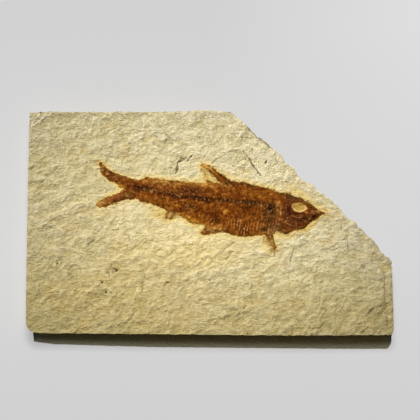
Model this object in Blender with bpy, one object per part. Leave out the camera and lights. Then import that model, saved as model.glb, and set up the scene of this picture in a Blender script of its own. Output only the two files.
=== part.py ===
"""Fossil fish slab.

A plate of pale bedded limestone that lies on its flat underside. Three of its edges are sawn, and the
back right corner is broken away in steps. A small herring-like fish lies pressed in the upper face,
snout to the right, with its back fin, tail fin and three lower fins.

The slab and the fossil are two closed solids. The fossil is a thin plate of bone in low relief. It sits
in a shallow pocket of the stone, cut to its outline with a small clearance.

Sizes are in millimetres in the tables below, and MM turns them into metres. The origin is the middle of
the underside, +X runs along the long front edge and +Z points up.
"""

import math
import random

import bmesh
import bpy
from mathutils import Vector, geometry, noise

MM = 0.001

# ---- Driving dimensions of the slab ----
LENGTH = 153.0
WIDTH = 106.5
THICKNESS = 12.0

# Upper rim of the slab, anticlockwise from the front left corner.
FRONT_EDGE = [(-72.9, -51.3), (-40.0, -51.8), (0.0, -52.1), (40.0, -52.6), (74.6, -52.3)]
RIGHT_EDGE = [(75.9, -51.6), (76.3, -49.6), (LENGTH / 2, -41.0), (LENGTH / 2, -26.0), (76.2, -21.6)]
BROKEN_EDGE = [
    (76.0, -19.4), (74.9, -17.1), (72.9, -15.7), (70.9, -11.7), (66.6, -6.9), (62.1, -1.8),
    (60.6, -0.1), (58.1, 1.4), (54.6, 5.9), (51.3, 10.2), (49.6, 11.6), (46.6, 14.4),
    (44.4, 16.9), (42.9, 18.9), (39.1, 20.2), (36.6, 23.9), (35.9, 25.6), (32.4, 27.6),
    (31.8, 29.9), (30.1, 32.1), (23.6, 38.1), (20.9, 39.9), (15.9, 45.9), (12.6, 49.4),
]
BACK_EDGE = [(9.6, 52.4), (5.6, 52.8), (-0.9, WIDTH / 2), (-14.4, 52.6), (-44.4, 52.4), (-76.0, 52.4)]
LEFT_EDGE = [(-LENGTH / 2, 18.9), (-76.1, -1.1), (-75.6, -21.1), (-75.3, -41.1), (-75.4, -46.6)]
CLIPPED_CORNER = [(-74.9, -48.8)]

SEED = 11
RIM_STEP = 3.8
RIM_DROP = 0.35
RIM_BEVEL = 1.3
SAWN_ROUGHNESS = 0.15
BROKEN_ROUGHNESS = 0.7
BREAK_START = (9.6, 52.4)
BREAK_END = (76.0, -19.4)
BREAK_BAND = 4.5

# Side faces, rim to base: how far down the thickness, and how far in from the rim.
SIDE_PROFILE = [(0.12, 0.35), (0.33, 0.75), (0.42, 0.30), (0.68, 0.65), (0.90, 0.25)]
BASE_INSET = 0.25
BASE_CHAMFER = 0.4

# The front face runs down to a straight foot, which stands further out at its right end.
FRONT_BAND = -50.5
FOOT_LEFT = -51.0
FOOT_RIGHT = -WIDTH / 2
FOOT_END = 74.0
FOOT_DEPTH = 0.90

# The foot of the clipped corner is chipped further back than its rim.
CHIP_CENTRE = (-75.0, -50.5)
CHIP_REACH = 7.5
CHIP_DEPTH = 1.8

# ---- Relief of the upper face, which is calm around the fish ----
CALM_CENTRE = (1.0, 10.0)
CALM_REACH = (56.0, 22.0)
CALM_TURN = (0.75, 1.25)
RIPPLE_ANGLE = math.radians(26.0)
SWELL_HEIGHT = 0.28
SWELL_SPAN = 38.0
SWELL_SLICE = 3.7
RIPPLE_HEIGHT = 0.32
RIPPLE_LENGTH = 15.0
RIPPLE_WIDTH = 5.5
RIPPLE_SLICE = 8.1
GRID_STEP = 2.9
GRID_JITTER = 0.55
FEATURE_GAP = 1.4

# Ledges where one bed ends: the line of the ledge, its step and how far it takes to fade out.
LEDGES = [
    ([(-32.5, -4.2), (-33.6, -6.0), (-33.5, -9.4)], 0.35, 7.0),
    ([(-40.0, -49.2), (-33.6, -46.8), (-30.0, -41.0)], 0.40, 8.0),
    ([(9.8, -45.6), (15.0, -40.2), (18.5, -34.0), (18.8, -28.5)], 0.35, 9.0),
    ([(65.5, -44.5), (67.0, -41.0), (71.0, -38.9), (75.0, -37.6)], 0.45, 8.0),
    ([(38.0, -49.0), (45.5, -49.2), (48.6, -46.6)], 0.35, 6.0),
    ([(-51.0, -11.6), (-49.3, -8.9), (-47.0, -8.4)], 0.30, 5.0),
]
LEDGE_FACE = 0.25
LEDGE_TAPER = 0.2
LINE_STEP = 2.5

# Cracks, each along its line, and small round pits.
CRACKS = [
    [(-13.6, 22.9), (-12.9, 26.6), (-12.6, 29.2)],
    [(-9.6, 28.2), (-6.4, 32.0)],
    [(17.4, 28.8), (19.2, 26.0), (22.4, 20.9)],
    [(55.6, 3.4), (56.6, 0.8), (55.9, -2.6)],
    [(58.2, -8.0), (58.4, -12.0), (56.4, -14.6)],
    [(35.9, -11.6), (35.2, -14.6), (34.2, -18.8)],
    [(4.9, -15.2), (7.4, -12.2), (11.2, -9.6)],
    [(40.2, -4.8), (36.9, -8.2)],
]
CRACK_WIDTH = 0.6
CRACK_DEPTH = 0.5
PITS = [
    (-63.0, -19.8, 0.8), (-38.4, -23.2, 0.8), (-44.2, -28.4, 0.7), (-42.4, -32.9, 0.7),
    (0.8, -27.5, 0.7), (24.2, 28.0, 0.8), (64.2, -21.4, 1.4),
]
PIT_DEPTH = 0.55
PIT_SIDES = 6

# ---- The fish, drawn with its origin half way along its length ----
FISH_PLACE = (0.6, -1.1)

BACK_FRONT = [
    (48.3, 4.9), (47.2, 5.7), (45.0, 6.7), (42.0, 9.5), (38.0, 12.0), (33.0, 14.1), (28.0, 15.2),
    (22.0, 17.5), (15.0, 19.2), (9.0, 19.9),
]
BACK_REAR = [
    (4.8, 19.3), (0.0, 18.9), (-5.0, 19.0), (-12.0, 19.9), (-20.0, 20.8), (-26.0, 21.6), (-30.0, 20.8),
]
BELLY_TAIL = [(-30.0, 11.6), (-27.0, 10.5), (-22.5, 9.0), (-17.6, 6.4)]
BELLY_REAR = [(-14.2, 4.2), (-12.0, 2.8), (-9.0, 1.4), (-6.0, 0.4), (-2.0, -0.2)]
BELLY_FRONT = [(4.0, -3.8), (7.0, -4.3), (10.0, -5.0), (14.0, -5.8), (19.0, -5.8), (25.2, -5.2)]
THROAT = [
    (26.8, -5.2), (28.0, -3.8), (29.3, -3.2), (30.6, -4.1), (33.0, -4.3), (38.0, -2.6), (40.2, -1.7),
    (43.0, 0.6), (48.3, 4.5),
]

# Each fin has a leading and a trailing edge, both from its root to its tip.
DORSAL_LEAD = [(9.0, 19.9), (5.6, 22.2), (3.0, 24.4), (0.8, 26.8), (-3.4, 28.1)]
DORSAL_TRAIL = [(4.8, 19.3), (2.2, 22.3), (0.4, 24.9), (-1.0, 26.5), (-3.5, 27.5)]
UPPER_LOBE_LEAD = [(-30.0, 20.8), (-33.5, 21.4), (-37.0, 22.8), (-42.5, 25.5), (-45.3, 28.3), (-47.2, 29.1)]
UPPER_LOBE_TRAIL = [(-36.0, 16.5), (-38.5, 18.9), (-42.0, 21.4), (-45.0, 24.0), (-46.3, 26.4), (-47.6, 28.6)]
LOWER_LOBE_LEAD = [(-30.0, 11.6), (-33.5, 11.4), (-37.0, 10.5), (-41.0, 8.8), (-44.5, 8.0), (-47.4, 8.5)]
LOWER_LOBE_TRAIL = [(-36.0, 16.5), (-38.2, 15.0), (-40.5, 13.8), (-44.0, 11.9), (-46.0, 10.9), (-47.8, 9.6)]
ANAL_LEAD = [(-14.2, 4.2), (-16.0, 3.1), (-17.8, 2.3)]
ANAL_TRAIL = [(-17.6, 6.4), (-17.5, 4.8), (-18.3, 2.8)]
PELVIC_LEAD = [(4.0, -3.8), (1.0, -4.7), (-1.6, -5.1), (-3.7, -4.8)]
PELVIC_TRAIL = [(-2.0, -0.2), (-1.2, -1.8), (-1.9, -3.1), (-4.0, -4.1)]
PECTORAL_LEAD = [(26.8, -5.2), (26.7, -7.0), (27.0, -9.0), (27.7, -11.6)]
PECTORAL_TRAIL = [(25.2, -5.2), (25.6, -7.0), (26.0, -9.5), (26.5, -12.1)]

SPINE = [
    (-34.0, 17.0), (-30.0, 16.5), (-24.0, 15.6), (-18.0, 14.0), (-12.0, 12.8), (-6.0, 12.0),
    (0.0, 11.3), (8.0, 10.8), (18.0, 10.0), (28.0, 9.3),
]
SPINE_HALF_WIDTH = 0.95
VERTEBRA_PITCH = 1.5

RIB_PITCH = 1.5
RIB_SLANT = 0.20
RIB_RANGE = (-12.0, 26.5)
NEURAL_PITCH = 1.8
NEURAL_SLANT = 0.45
NEURAL_RANGE = (-28.0, 26.0)
HAEMAL_RANGE = (-28.0, -13.5)
BONE_ROOT_GAP = 0.7
BONE_POINT_GAP = 2.4
BONE_POINTS = 9
FIN_RAY_POINTS = 6
FIN_MARGIN = 0.3

EYE_CENTRE = (37.6, 8.0)
EYE_AXES = (3.4, 2.6)
EYE_SIDES = 16

# Head bones, each a raised line: the gill cover's rear and front edges, the skull roof, the cheek, the jaws.
HEAD_BONES = [
    [(28.9, 12.8), (30.3, 9.0), (30.3, 4.0), (29.4, -1.6)],
    [(33.0, 11.8), (32.3, 7.5), (32.9, 3.4), (35.0, -0.2), (38.6, -1.2)],
    [(44.6, 5.9), (41.6, 8.7), (38.0, 11.2), (33.4, 12.9)],
    [(35.6, 3.2), (38.6, 2.0), (42.0, 3.0), (45.6, 4.6)],
    [(31.5, -2.6), (34.4, -2.4)],
]

FISH_STEP = 1.7
CURVE_POINTS = 9
SAME_POINT = 0.2
STONE_COVER = 0.05
PLATE_DEPTH = 0.70
POCKET_DEPTH = 1.00
CLEARANCE = 0.30
BODY_RISE = 0.42
BODY_SHOULDER = 2.2
RIB_RISE = 0.13
RAY_RISE = 0.10
VERTEBRA_RISE = 0.24
JOINT_RISE = 0.07
HEAD_BONE_RISE = 0.20
FURROW_LIFT = -0.08
FURROW_SHIFT = (-0.9, -0.25)
EYE_DIP = 0.28
EYE_RINGS = [(1.28, 0.22), (0.95, 0.0), (0.55, -EYE_DIP)]
EDGE_MARGIN = 0.55

LIMESTONE = (0.604, 0.497, 0.270, 1.0)
BONE = (0.165, 0.058, 0.014, 1.0)


def clear_scene():
    """Remove every object, so the model is alone in the file."""
    for item in list(bpy.data.objects):
        bpy.data.objects.remove(item, do_unlink=True)


def make_material(name, colour, roughness):
    """A plain Principled material."""
    material = bpy.data.materials.new(name)
    material.use_nodes = True
    shader = material.node_tree.nodes["Principled BSDF"]
    shader.inputs["Base Color"].default_value = colour
    shader.inputs["Roughness"].default_value = roughness
    shader.inputs["Metallic"].default_value = 0.0
    return material


# ---- Curves and outlines ----

def lerp(start, end, amount):
    """The value that lies amount of the way from start to end."""
    return start + (end - start) * amount


def polyline_length(points):
    """Length of a run of points."""
    return sum((b - a).length for a, b in zip(points, points[1:]))


def resample(points, step):
    """The same run of points, evenly spaced about every step, with both ends kept."""
    total = polyline_length(points)
    count = max(2, round(total / step) + 1)
    spacing = total / (count - 1)
    result = [points[0]]
    travelled = 0.0
    for a, b in zip(points, points[1:]):
        span = (b - a).length
        while len(result) < count - 1 and len(result) * spacing <= travelled + span:
            result.append(a.lerp(b, (len(result) * spacing - travelled) / span))
        travelled += span
    result.append(points[-1])
    return result


def smooth_curve(control, step):
    """A smooth curve through the control points, about one point every step."""
    knots = [Vector((x, y)) for x, y in control]
    fine = [knots[0]]
    for i in range(len(knots) - 1):
        before = knots[max(i - 1, 0)]
        start, end = knots[i], knots[i + 1]
        after = knots[min(i + 2, len(knots) - 1)]
        handle_out = start + (end - before) / 6.0
        handle_in = end - (after - start) / 6.0
        fine += geometry.interpolate_bezier(start, handle_out, handle_in, end, CURVE_POINTS)[1:]
    return resample([Vector(p[:2]) for p in fine], step)


def point_along(points, fraction):
    """The point a fraction of the way along a run of points."""
    target = polyline_length(points) * fraction
    for a, b in zip(points, points[1:]):
        span = (b - a).length
        if target <= span:
            return a.lerp(b, target / span)
        target -= span
    return points[-1].copy()


def segment_distance(point, a, b):
    """Distance from a point to a straight segment."""
    along = b - a
    amount = max(0.0, min(1.0, (point - a).dot(along) / along.length_squared))
    return (point - a - along * amount).length


def edge_distance(outline, point):
    """Distance from a point to the nearest edge of a closed outline."""
    return min(segment_distance(point, outline[i - 1], outline[i]) for i in range(len(outline)))


def inside(outline, point):
    """True where a point lies within a closed outline."""
    found = False
    for i, b in enumerate(outline):
        a = outline[i - 1]
        if (a.y > point.y) != (b.y > point.y):
            crossing = a.x + (point.y - a.y) * (b.x - a.x) / (b.y - a.y)
            if point.x < crossing:
                found = not found
    return found


def corner_normals(outline):
    """Outward unit normals at the corners of an anticlockwise outline."""
    normals = []
    for i, here in enumerate(outline):
        back = (here - outline[i - 1]).normalized()
        ahead = (outline[(i + 1) % len(outline)] - here).normalized()
        across = Vector((back.y + ahead.y, -back.x - ahead.x))
        if across.length < 0.2:
            across = Vector((back.x - ahead.x, back.y - ahead.y))
        normals.append(across.normalized())
    return normals


def grown(outline, amount):
    """The outline moved outwards by amount."""
    return [p + n * amount for p, n in zip(outline, corner_normals(outline))]


# ---- Triangulated drawings ----

class Drawing:
    """Points and lines drawn inside an outline, each point lifted by its own amount."""

    def __init__(self, outline):
        self.outline = outline
        self.points = list(outline)
        self.lifts = [0.0] * len(outline)
        self.edges = []

    def add_point(self, point, lift):
        """Add one point, and give back its number."""
        self.points.append(point)
        self.lifts.append(lift)
        return len(self.points) - 1

    def add_line(self, points, lifts, margin=0.0):
        """Add a line, leaving out the points nearer to the outline than margin."""
        previous = None
        for point, lift in zip(points, lifts):
            kept = inside(self.outline, point) and edge_distance(self.outline, point) > margin
            number = self.add_point(point, lift) if kept else None
            if previous is not None and number is not None:
                self.edges.append((previous, number))
            previous = number

    def triangles(self):
        """Triangulate the drawing. Gives points, their lifts and the triangles."""
        count = len(self.outline)
        edges = [(i - 1 if i else count - 1, i) for i in range(count)] + self.edges
        result = geometry.delaunay_2d_cdt(self.points, edges, [], 0, 1e-4, True)
        places, _, faces, sources, _, _ = result
        faces = [f for f in faces if inside(self.outline, sum((places[i] for i in f), Vector((0, 0))) / 3)]
        lifts = []
        for place, source in zip(places, sources):
            if source:
                lifts.append(self.lifts[source[0]])
            else:
                nearest = min(range(len(self.points)), key=lambda i: (self.points[i] - place).length)
                lifts.append(self.lifts[nearest])
        return places, sources, lifts, faces


# ---- The slab ----

def smoothstep(low, high, value):
    """0 below low, 1 above high, and an even turn between."""
    amount = max(0.0, min(1.0, (value - low) / (high - low)))
    return amount * amount * (3.0 - 2.0 * amount)


def calm(x, y):
    """0 on the flat bedding around the fish, 1 away from it."""
    from_middle = math.hypot((x - CALM_CENTRE[0]) / CALM_REACH[0], (y - CALM_CENTRE[1]) / CALM_REACH[1])
    return smoothstep(CALM_TURN[0], CALM_TURN[1], from_middle)


def ledge_lift(point):
    """Height that the ledges add: a step at each line, which fades out on its upper side."""
    total = 0.0
    for line, step, reach in LEDGES:
        knots = [Vector(p) for p in line]
        length = polyline_length(knots)
        travelled = 0.0
        best = None
        for a, b in zip(knots, knots[1:]):
            along = b - a
            amount = max(0.0, min(1.0, (point - a).dot(along) / along.length_squared))
            offset = point - a - along * amount
            side = 1.0 if along.x * offset.y - along.y * offset.x >= 0.0 else -1.0
            if best is None or offset.length < abs(best[0]):
                best = (side * offset.length, (travelled + along.length * amount) / length)
            travelled += along.length
        distance, position = best
        if -LEDGE_FACE < distance < reach:
            rise = smoothstep(-LEDGE_FACE, LEDGE_FACE, distance)
            fade = 1.0 - smoothstep(LEDGE_FACE, reach, distance)
            ends = smoothstep(0.0, LEDGE_TAPER, position) * smoothstep(0.0, LEDGE_TAPER, 1.0 - position)
            total += step * rise * fade * ends
    return total


def stone_height(x, y):
    """Height of the upper face over the underside."""
    along = x * math.cos(RIPPLE_ANGLE) + y * math.sin(RIPPLE_ANGLE)
    across = -x * math.sin(RIPPLE_ANGLE) + y * math.cos(RIPPLE_ANGLE)
    swell = SWELL_HEIGHT * noise.noise(Vector((x / SWELL_SPAN, y / SWELL_SPAN, SWELL_SLICE)))
    ripple = RIPPLE_HEIGHT * noise.noise(Vector((along / RIPPLE_LENGTH, across / RIPPLE_WIDTH, RIPPLE_SLICE)))
    uneven = swell + ripple + ledge_lift(Vector((x, y)))
    return THICKNESS + uneven * calm(x, y)


def roughness_at(point):
    """How rough the edge is: more on the broken corner than on the sawn edges."""
    broken = segment_distance(point, Vector(BREAK_START), Vector(BREAK_END)) < BREAK_BAND
    return BROKEN_ROUGHNESS if broken else SAWN_ROUGHNESS


def rim_points(rng):
    """The rim's outline, stepped and slightly rough, rougher where it is broken."""
    corners = FRONT_EDGE + RIGHT_EDGE + BROKEN_EDGE + BACK_EDGE + LEFT_EDGE + CLIPPED_CORNER
    knots = [Vector(p) for p in corners]
    points = []
    for i, start in enumerate(knots):
        end = knots[(i + 1) % len(knots)]
        steps = max(1, round((end - start).length / RIM_STEP))
        inward = Vector((start.y - end.y, end.x - start.x)).normalized()
        points.append(start)
        for k in range(1, steps):
            place = start.lerp(end, k / steps)
            points.append(place + inward * rng.uniform(0.0, roughness_at(place)))
    return points


def side_place(point, outward, depth, inset, rng):
    """Where the side face lies below a rim point, at a share of the thickness below it."""
    whole = smoothstep(0.0, CHIP_REACH, (point - Vector(CHIP_CENTRE)).length)
    chipped = CHIP_DEPTH * depth * (1.0 - whole)
    place = point - outward * (inset + chipped + rng.uniform(0.0, roughness_at(point)))
    if point.y < FRONT_BAND:
        foot = lerp(FOOT_LEFT, FOOT_RIGHT, min(1.0, (point.x + LENGTH / 2) / (LENGTH / 2 + FOOT_END)))
        share = min(1.0, depth / FOOT_DEPTH)
        place.y = lerp(place.y, foot, share * whole)
    return place


def draw_crack(drawing, line):
    """A narrow V-shaped crack, closed at both ends."""
    knots = [Vector(p) for p in line]
    drawing.add_line(knots, [0.0] + [-CRACK_DEPTH] * (len(knots) - 2) + [0.0])
    middle = resample(knots, LINE_STEP)
    for side in (-1.0, 1.0):
        lip = []
        for a, b in zip(middle, middle[1:]):
            across = Vector((a.y - b.y, b.x - a.x)).normalized()
            lip.append(a.lerp(b, 0.5) + across * side * CRACK_WIDTH / 2)
        drawing.add_line(lip, [0.0] * len(lip))


def draw_pit(drawing, x, y, radius):
    """A small round pit with sloping sides."""
    ring = []
    for i in range(PIT_SIDES):
        angle = 2.0 * math.pi * i / PIT_SIDES
        ring.append(Vector((x + radius * math.cos(angle), y + radius * math.sin(angle))))
    drawing.add_line(ring, [0.0] * PIT_SIDES)
    drawing.add_point(Vector((x, y)), -PIT_DEPTH)


def draw_ledge(drawing, line):
    """The foot and the brow of a ledge."""
    knots = resample([Vector(p) for p in line], LINE_STEP)
    for side in (-1.0, 1.0):
        run = []
        for a, b in zip(knots, knots[1:]):
            across = Vector((a.y - b.y, b.x - a.x)).normalized()
            run.append(a.lerp(b, 0.5) + across * side * LEDGE_FACE)
        drawing.add_line(run, [0.0] * len(run))


def fill_grid(drawing, rng, skip):
    """Scatter a loose grid of points over the face, clear of what is drawn and of the skip outline."""
    features = [Vector(p) for p in drawing.points]
    row_step = GRID_STEP * math.sin(math.radians(60.0))
    rows = int(WIDTH / row_step) + 1
    columns = int(LENGTH / GRID_STEP) + 1
    for j in range(rows):
        for i in range(columns):
            x = -LENGTH / 2 + (i + 0.5 * (j % 2)) * GRID_STEP + rng.uniform(-GRID_JITTER, GRID_JITTER)
            y = -WIDTH / 2 + j * row_step + rng.uniform(-GRID_JITTER, GRID_JITTER)
            place = Vector((x, y))
            if not inside(drawing.outline, place) or inside(skip, place):
                continue
            if min((place - f).length for f in features) > FEATURE_GAP:
                drawing.add_point(place, 0.0)


def build_slab(fish_outline):
    """The limestone slab as one closed mesh, with no pocket yet."""
    rng = random.Random(SEED)
    rim = rim_points(rng)
    brow = grown(rim, -RIM_BEVEL)

    drawing = Drawing(brow)
    for line, _, _ in LEDGES:
        draw_ledge(drawing, line)
    for line in CRACKS:
        draw_crack(drawing, line)
    for x, y, radius in PITS:
        draw_pit(drawing, x, y, radius)
    fill_grid(drawing, rng, fish_outline)
    places, sources, lifts, faces = drawing.triangles()

    mesh = bmesh.new()
    upper = []
    for place, lift in zip(places, lifts):
        z = stone_height(place.x, place.y) + lift
        upper.append(mesh.verts.new((place.x * MM, place.y * MM, z * MM)))
    for face in faces:
        mesh.faces.new([upper[i] for i in face])
    brow_ring = [None] * len(rim)
    for number, source in enumerate(sources):
        for original in source:
            if original < len(rim):
                brow_ring[original] = upper[number]

    rings = [brow_ring]
    rings.append([
        mesh.verts.new((p.x * MM, p.y * MM, (stone_height(p.x, p.y) - RIM_DROP) * MM)) for p in rim
    ])
    normals = corner_normals(rim)
    for depth, inset in SIDE_PROFILE:
        ring = []
        for point, outward in zip(rim, normals):
            place = side_place(point, outward, depth, inset, rng)
            ring.append(mesh.verts.new((place.x * MM, place.y * MM, THICKNESS * (1.0 - depth) * MM)))
        rings.append(ring)
    base = []
    for point, outward in zip(rim, normals):
        place = side_place(point, outward, 1.0, BASE_INSET, rng) - outward * BASE_CHAMFER
        base.append(mesh.verts.new((place.x * MM, place.y * MM, 0.0)))
    rings.append(base)

    count = len(rim)
    for above, below in zip(rings, rings[1:]):
        for i in range(count):
            j = (i + 1) % count
            mesh.faces.new((above[i], below[i], below[j], above[j]))
    mesh.faces.new(list(reversed(base)))
    return finish_mesh(mesh, "slab", "limestone", LIMESTONE, 0.9)


# ---- The fish ----

def fish_outline():
    """The closed outline of the fish with its fins, anticlockwise."""
    upper_side = [
        BACK_FRONT, DORSAL_LEAD, list(reversed(DORSAL_TRAIL)), BACK_REAR, UPPER_LOBE_LEAD,
        list(reversed(UPPER_LOBE_TRAIL)), LOWER_LOBE_TRAIL, list(reversed(LOWER_LOBE_LEAD)),
    ]
    lower_side = [
        BELLY_TAIL, ANAL_TRAIL, list(reversed(ANAL_LEAD)), BELLY_REAR, PELVIC_TRAIL,
        list(reversed(PELVIC_LEAD)), BELLY_FRONT, PECTORAL_TRAIL, list(reversed(PECTORAL_LEAD)), THROAT,
    ]
    points = []
    for control in upper_side + lower_side:
        for point in smooth_curve(control, FISH_STEP):
            if not points or (point - points[-1]).length > SAME_POINT:
                points.append(point)
    if (points[0] - points[-1]).length < SAME_POINT:
        points.pop()
    return points


def spine_at(x, spine):
    """Height of the backbone's middle line at x."""
    for a, b in zip(spine, spine[1:]):
        if a.x <= x <= b.x:
            return lerp(a.y, b.y, (x - a.x) / (b.x - a.x))
    return spine[0].y if x < spine[0].x else spine[-1].y


def draw_backbone(drawing, spine):
    """The row of vertebrae: a beaded ridge between two shallow furrows."""
    beads = resample(spine, VERTEBRA_PITCH / 2)
    crest = [JOINT_RISE if i % 2 else VERTEBRA_RISE for i in range(len(beads))]
    drawing.add_line(beads, crest, EDGE_MARGIN)
    for side in (-1.0, 1.0):
        flank = [p + Vector((0.0, side * SPINE_HALF_WIDTH)) for p in resample(spine, VERTEBRA_PITCH)]
        drawing.add_line(flank, [-RIB_RISE] * len(flank), EDGE_MARGIN)


def draw_rib_row(drawing, spine, span, pitch, slant, side):
    """Thin bones side by side from the backbone to the outline, with furrows between them."""
    count = round((span[1] - span[0]) / (pitch / 2))
    for i in range(count + 1):
        x = lerp(span[0], span[1], i / count)
        lift = RIB_RISE if i % 2 == 0 else -RIB_RISE
        root = Vector((x, spine_at(x, spine) + side * (SPINE_HALF_WIDTH + BONE_ROOT_GAP)))
        direction = Vector((-slant, side)).normalized()
        run = [root + direction * BONE_POINT_GAP * k for k in range(BONE_POINTS)]
        kept = [run[0]]
        for point in run[1:]:
            if not inside(drawing.outline, point) or edge_distance(drawing.outline, point) < EDGE_MARGIN:
                break
            kept.append(point)
        drawing.add_line(kept, [lift] * len(kept), EDGE_MARGIN)


def draw_fin_rays(drawing, lead, trail, rays):
    """Rays that fan out between a fin's two edges, from its root to its tip."""
    leading = smooth_curve(lead, FISH_STEP)
    trailing = smooth_curve(trail, FISH_STEP)
    lines = 2 * rays - 1
    for i in range(1, lines + 1):
        share = i / (lines + 1)
        lift = RAY_RISE if i % 2 else -RAY_RISE
        run = []
        for k in range(1, FIN_RAY_POINTS + 1):
            fraction = k / (FIN_RAY_POINTS + 1)
            run.append(point_along(leading, fraction).lerp(point_along(trailing, fraction), share))
        drawing.add_line(run, [lift] * len(run), FIN_MARGIN)


def draw_head(drawing):
    """The eye socket with its raised ring, and the bones of the head."""
    centre = Vector(EYE_CENTRE)
    for scale, lift in EYE_RINGS:
        ring = []
        for i in range(EYE_SIDES):
            angle = 2.0 * math.pi * i / EYE_SIDES
            spoke = Vector((EYE_AXES[0] * math.cos(angle), EYE_AXES[1] * math.sin(angle)))
            ring.append(centre + spoke * scale)
        drawing.add_line(ring, [lift] * EYE_SIDES)
    drawing.add_point(centre, -EYE_DIP)
    for bone in HEAD_BONES:
        crest = smooth_curve(bone, FISH_STEP)
        drawing.add_line(crest, [HEAD_BONE_RISE] * len(crest), FIN_MARGIN)
        furrow = [p + Vector(FURROW_SHIFT) for p in crest]
        drawing.add_line(furrow, [FURROW_LIFT] * len(furrow), FIN_MARGIN)


def build_fish(outline):
    """The fossil: a thin plate with the skeleton in relief on its upper face."""
    drawing = Drawing(outline)
    spine = smooth_curve(SPINE, 1.0)
    draw_backbone(drawing, spine)
    draw_rib_row(drawing, spine, RIB_RANGE, RIB_PITCH, RIB_SLANT, -1.0)
    draw_rib_row(drawing, spine, HAEMAL_RANGE, NEURAL_PITCH, NEURAL_SLANT, -1.0)
    draw_rib_row(drawing, spine, NEURAL_RANGE, NEURAL_PITCH, NEURAL_SLANT, 1.0)
    draw_head(drawing)
    draw_fin_rays(drawing, UPPER_LOBE_LEAD, UPPER_LOBE_TRAIL, 3)
    draw_fin_rays(drawing, LOWER_LOBE_LEAD, LOWER_LOBE_TRAIL, 3)
    draw_fin_rays(drawing, PELVIC_LEAD, PELVIC_TRAIL, 1)
    draw_fin_rays(drawing, DORSAL_LEAD, DORSAL_TRAIL, 1)
    places, sources, lifts, faces = drawing.triangles()

    mesh = bmesh.new()
    upper = []
    for place, lift in zip(places, lifts):
        shoulder = 1.0 - math.exp(-edge_distance(outline, place) / BODY_SHOULDER)
        stone = stone_height(place.x + FISH_PLACE[0], place.y + FISH_PLACE[1])
        z = stone + STONE_COVER + BODY_RISE * shoulder + lift
        upper.append(mesh.verts.new((place.x * MM, place.y * MM, z * MM)))
    for face in faces:
        mesh.faces.new([upper[i] for i in face])

    floor = (THICKNESS - PLATE_DEPTH) * MM
    lower = [mesh.verts.new((p.x * MM, p.y * MM, floor)) for p in outline]
    edge_ring = [None] * len(outline)
    for number, source in enumerate(sources):
        for original in source:
            if original < len(outline):
                edge_ring[original] = upper[number]
    for i in range(len(outline)):
        j = (i + 1) % len(outline)
        mesh.faces.new((edge_ring[i], lower[i], lower[j], edge_ring[j]))
    mesh.faces.new(list(reversed(lower)))
    fish = finish_mesh(mesh, "fish", "fossil_bone", BONE, 0.55)
    fish.location = (FISH_PLACE[0] * MM, FISH_PLACE[1] * MM, 0.0)
    return fish


def cut_pocket(slab, outline):
    """Cut the shallow pocket that the fossil sits in, with a clearance all round and below."""
    mesh = bmesh.new()
    wide = grown(outline, CLEARANCE)
    floor = (THICKNESS - POCKET_DEPTH) * MM
    ceiling = 2.0 * THICKNESS * MM
    lower = [mesh.verts.new((p.x * MM, p.y * MM, floor)) for p in wide]
    upper = [mesh.verts.new((p.x * MM, p.y * MM, ceiling)) for p in wide]
    for i in range(len(wide)):
        j = (i + 1) % len(wide)
        mesh.faces.new((lower[i], lower[j], upper[j], upper[i]))
    mesh.faces.new(list(reversed(lower)))
    mesh.faces.new(upper)
    cutter = finish_mesh(mesh, "pocket_cutter", "cutter", LIMESTONE, 0.9)
    cutter.location = (FISH_PLACE[0] * MM, FISH_PLACE[1] * MM, 0.0)
    cutter.hide_render = True
    cutter.display_type = "WIRE"
    pocket = slab.modifiers.new("pocket", "BOOLEAN")
    pocket.operation = "DIFFERENCE"
    pocket.solver = "EXACT"
    pocket.object = cutter


def finish_mesh(mesh, name, material_name, colour, roughness):
    """Turn a finished bmesh into a named object with its own material."""
    bmesh.ops.triangulate(mesh, faces=[f for f in mesh.faces if len(f.verts) > 4])
    data = bpy.data.meshes.new(name)
    mesh.to_mesh(data)
    mesh.free()
    item = bpy.data.objects.new(name, data)
    item.data.materials.append(make_material(material_name, colour, roughness))
    bpy.context.scene.collection.objects.link(item)
    return item


def main():
    """Build the slab, the fossil and the pocket between them."""
    clear_scene()
    outline = fish_outline()
    placed = [p + Vector(FISH_PLACE) for p in outline]
    slab = build_slab(placed)
    build_fish(outline)
    cut_pocket(slab, outline)


main()
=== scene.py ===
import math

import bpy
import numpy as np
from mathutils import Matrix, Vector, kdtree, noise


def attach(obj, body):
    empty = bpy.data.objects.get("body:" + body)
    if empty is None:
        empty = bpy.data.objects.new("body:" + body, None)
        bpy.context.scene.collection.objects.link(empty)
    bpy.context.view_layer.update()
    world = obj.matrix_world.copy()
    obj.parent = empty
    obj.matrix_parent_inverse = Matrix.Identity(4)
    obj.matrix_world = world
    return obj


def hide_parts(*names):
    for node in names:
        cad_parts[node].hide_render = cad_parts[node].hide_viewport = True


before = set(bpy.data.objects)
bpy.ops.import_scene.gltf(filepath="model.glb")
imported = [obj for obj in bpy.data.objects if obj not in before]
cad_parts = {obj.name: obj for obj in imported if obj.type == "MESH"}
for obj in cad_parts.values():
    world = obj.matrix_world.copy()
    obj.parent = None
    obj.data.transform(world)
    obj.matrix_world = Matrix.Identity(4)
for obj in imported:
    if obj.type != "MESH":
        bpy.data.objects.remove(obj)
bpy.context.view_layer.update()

# Looks of the fossil fish slab. The limestone plate and the fossil are dense meshes in place of the two
# CAD solids. The tables are in millimetres, in the frame of the CAD part: the origin is the middle of the
# underside, +X runs along the front edge and +Z points up. The fish's tables start from FISH_PLACE.

MM = 0.001
THICKNESS = 12.0

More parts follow.
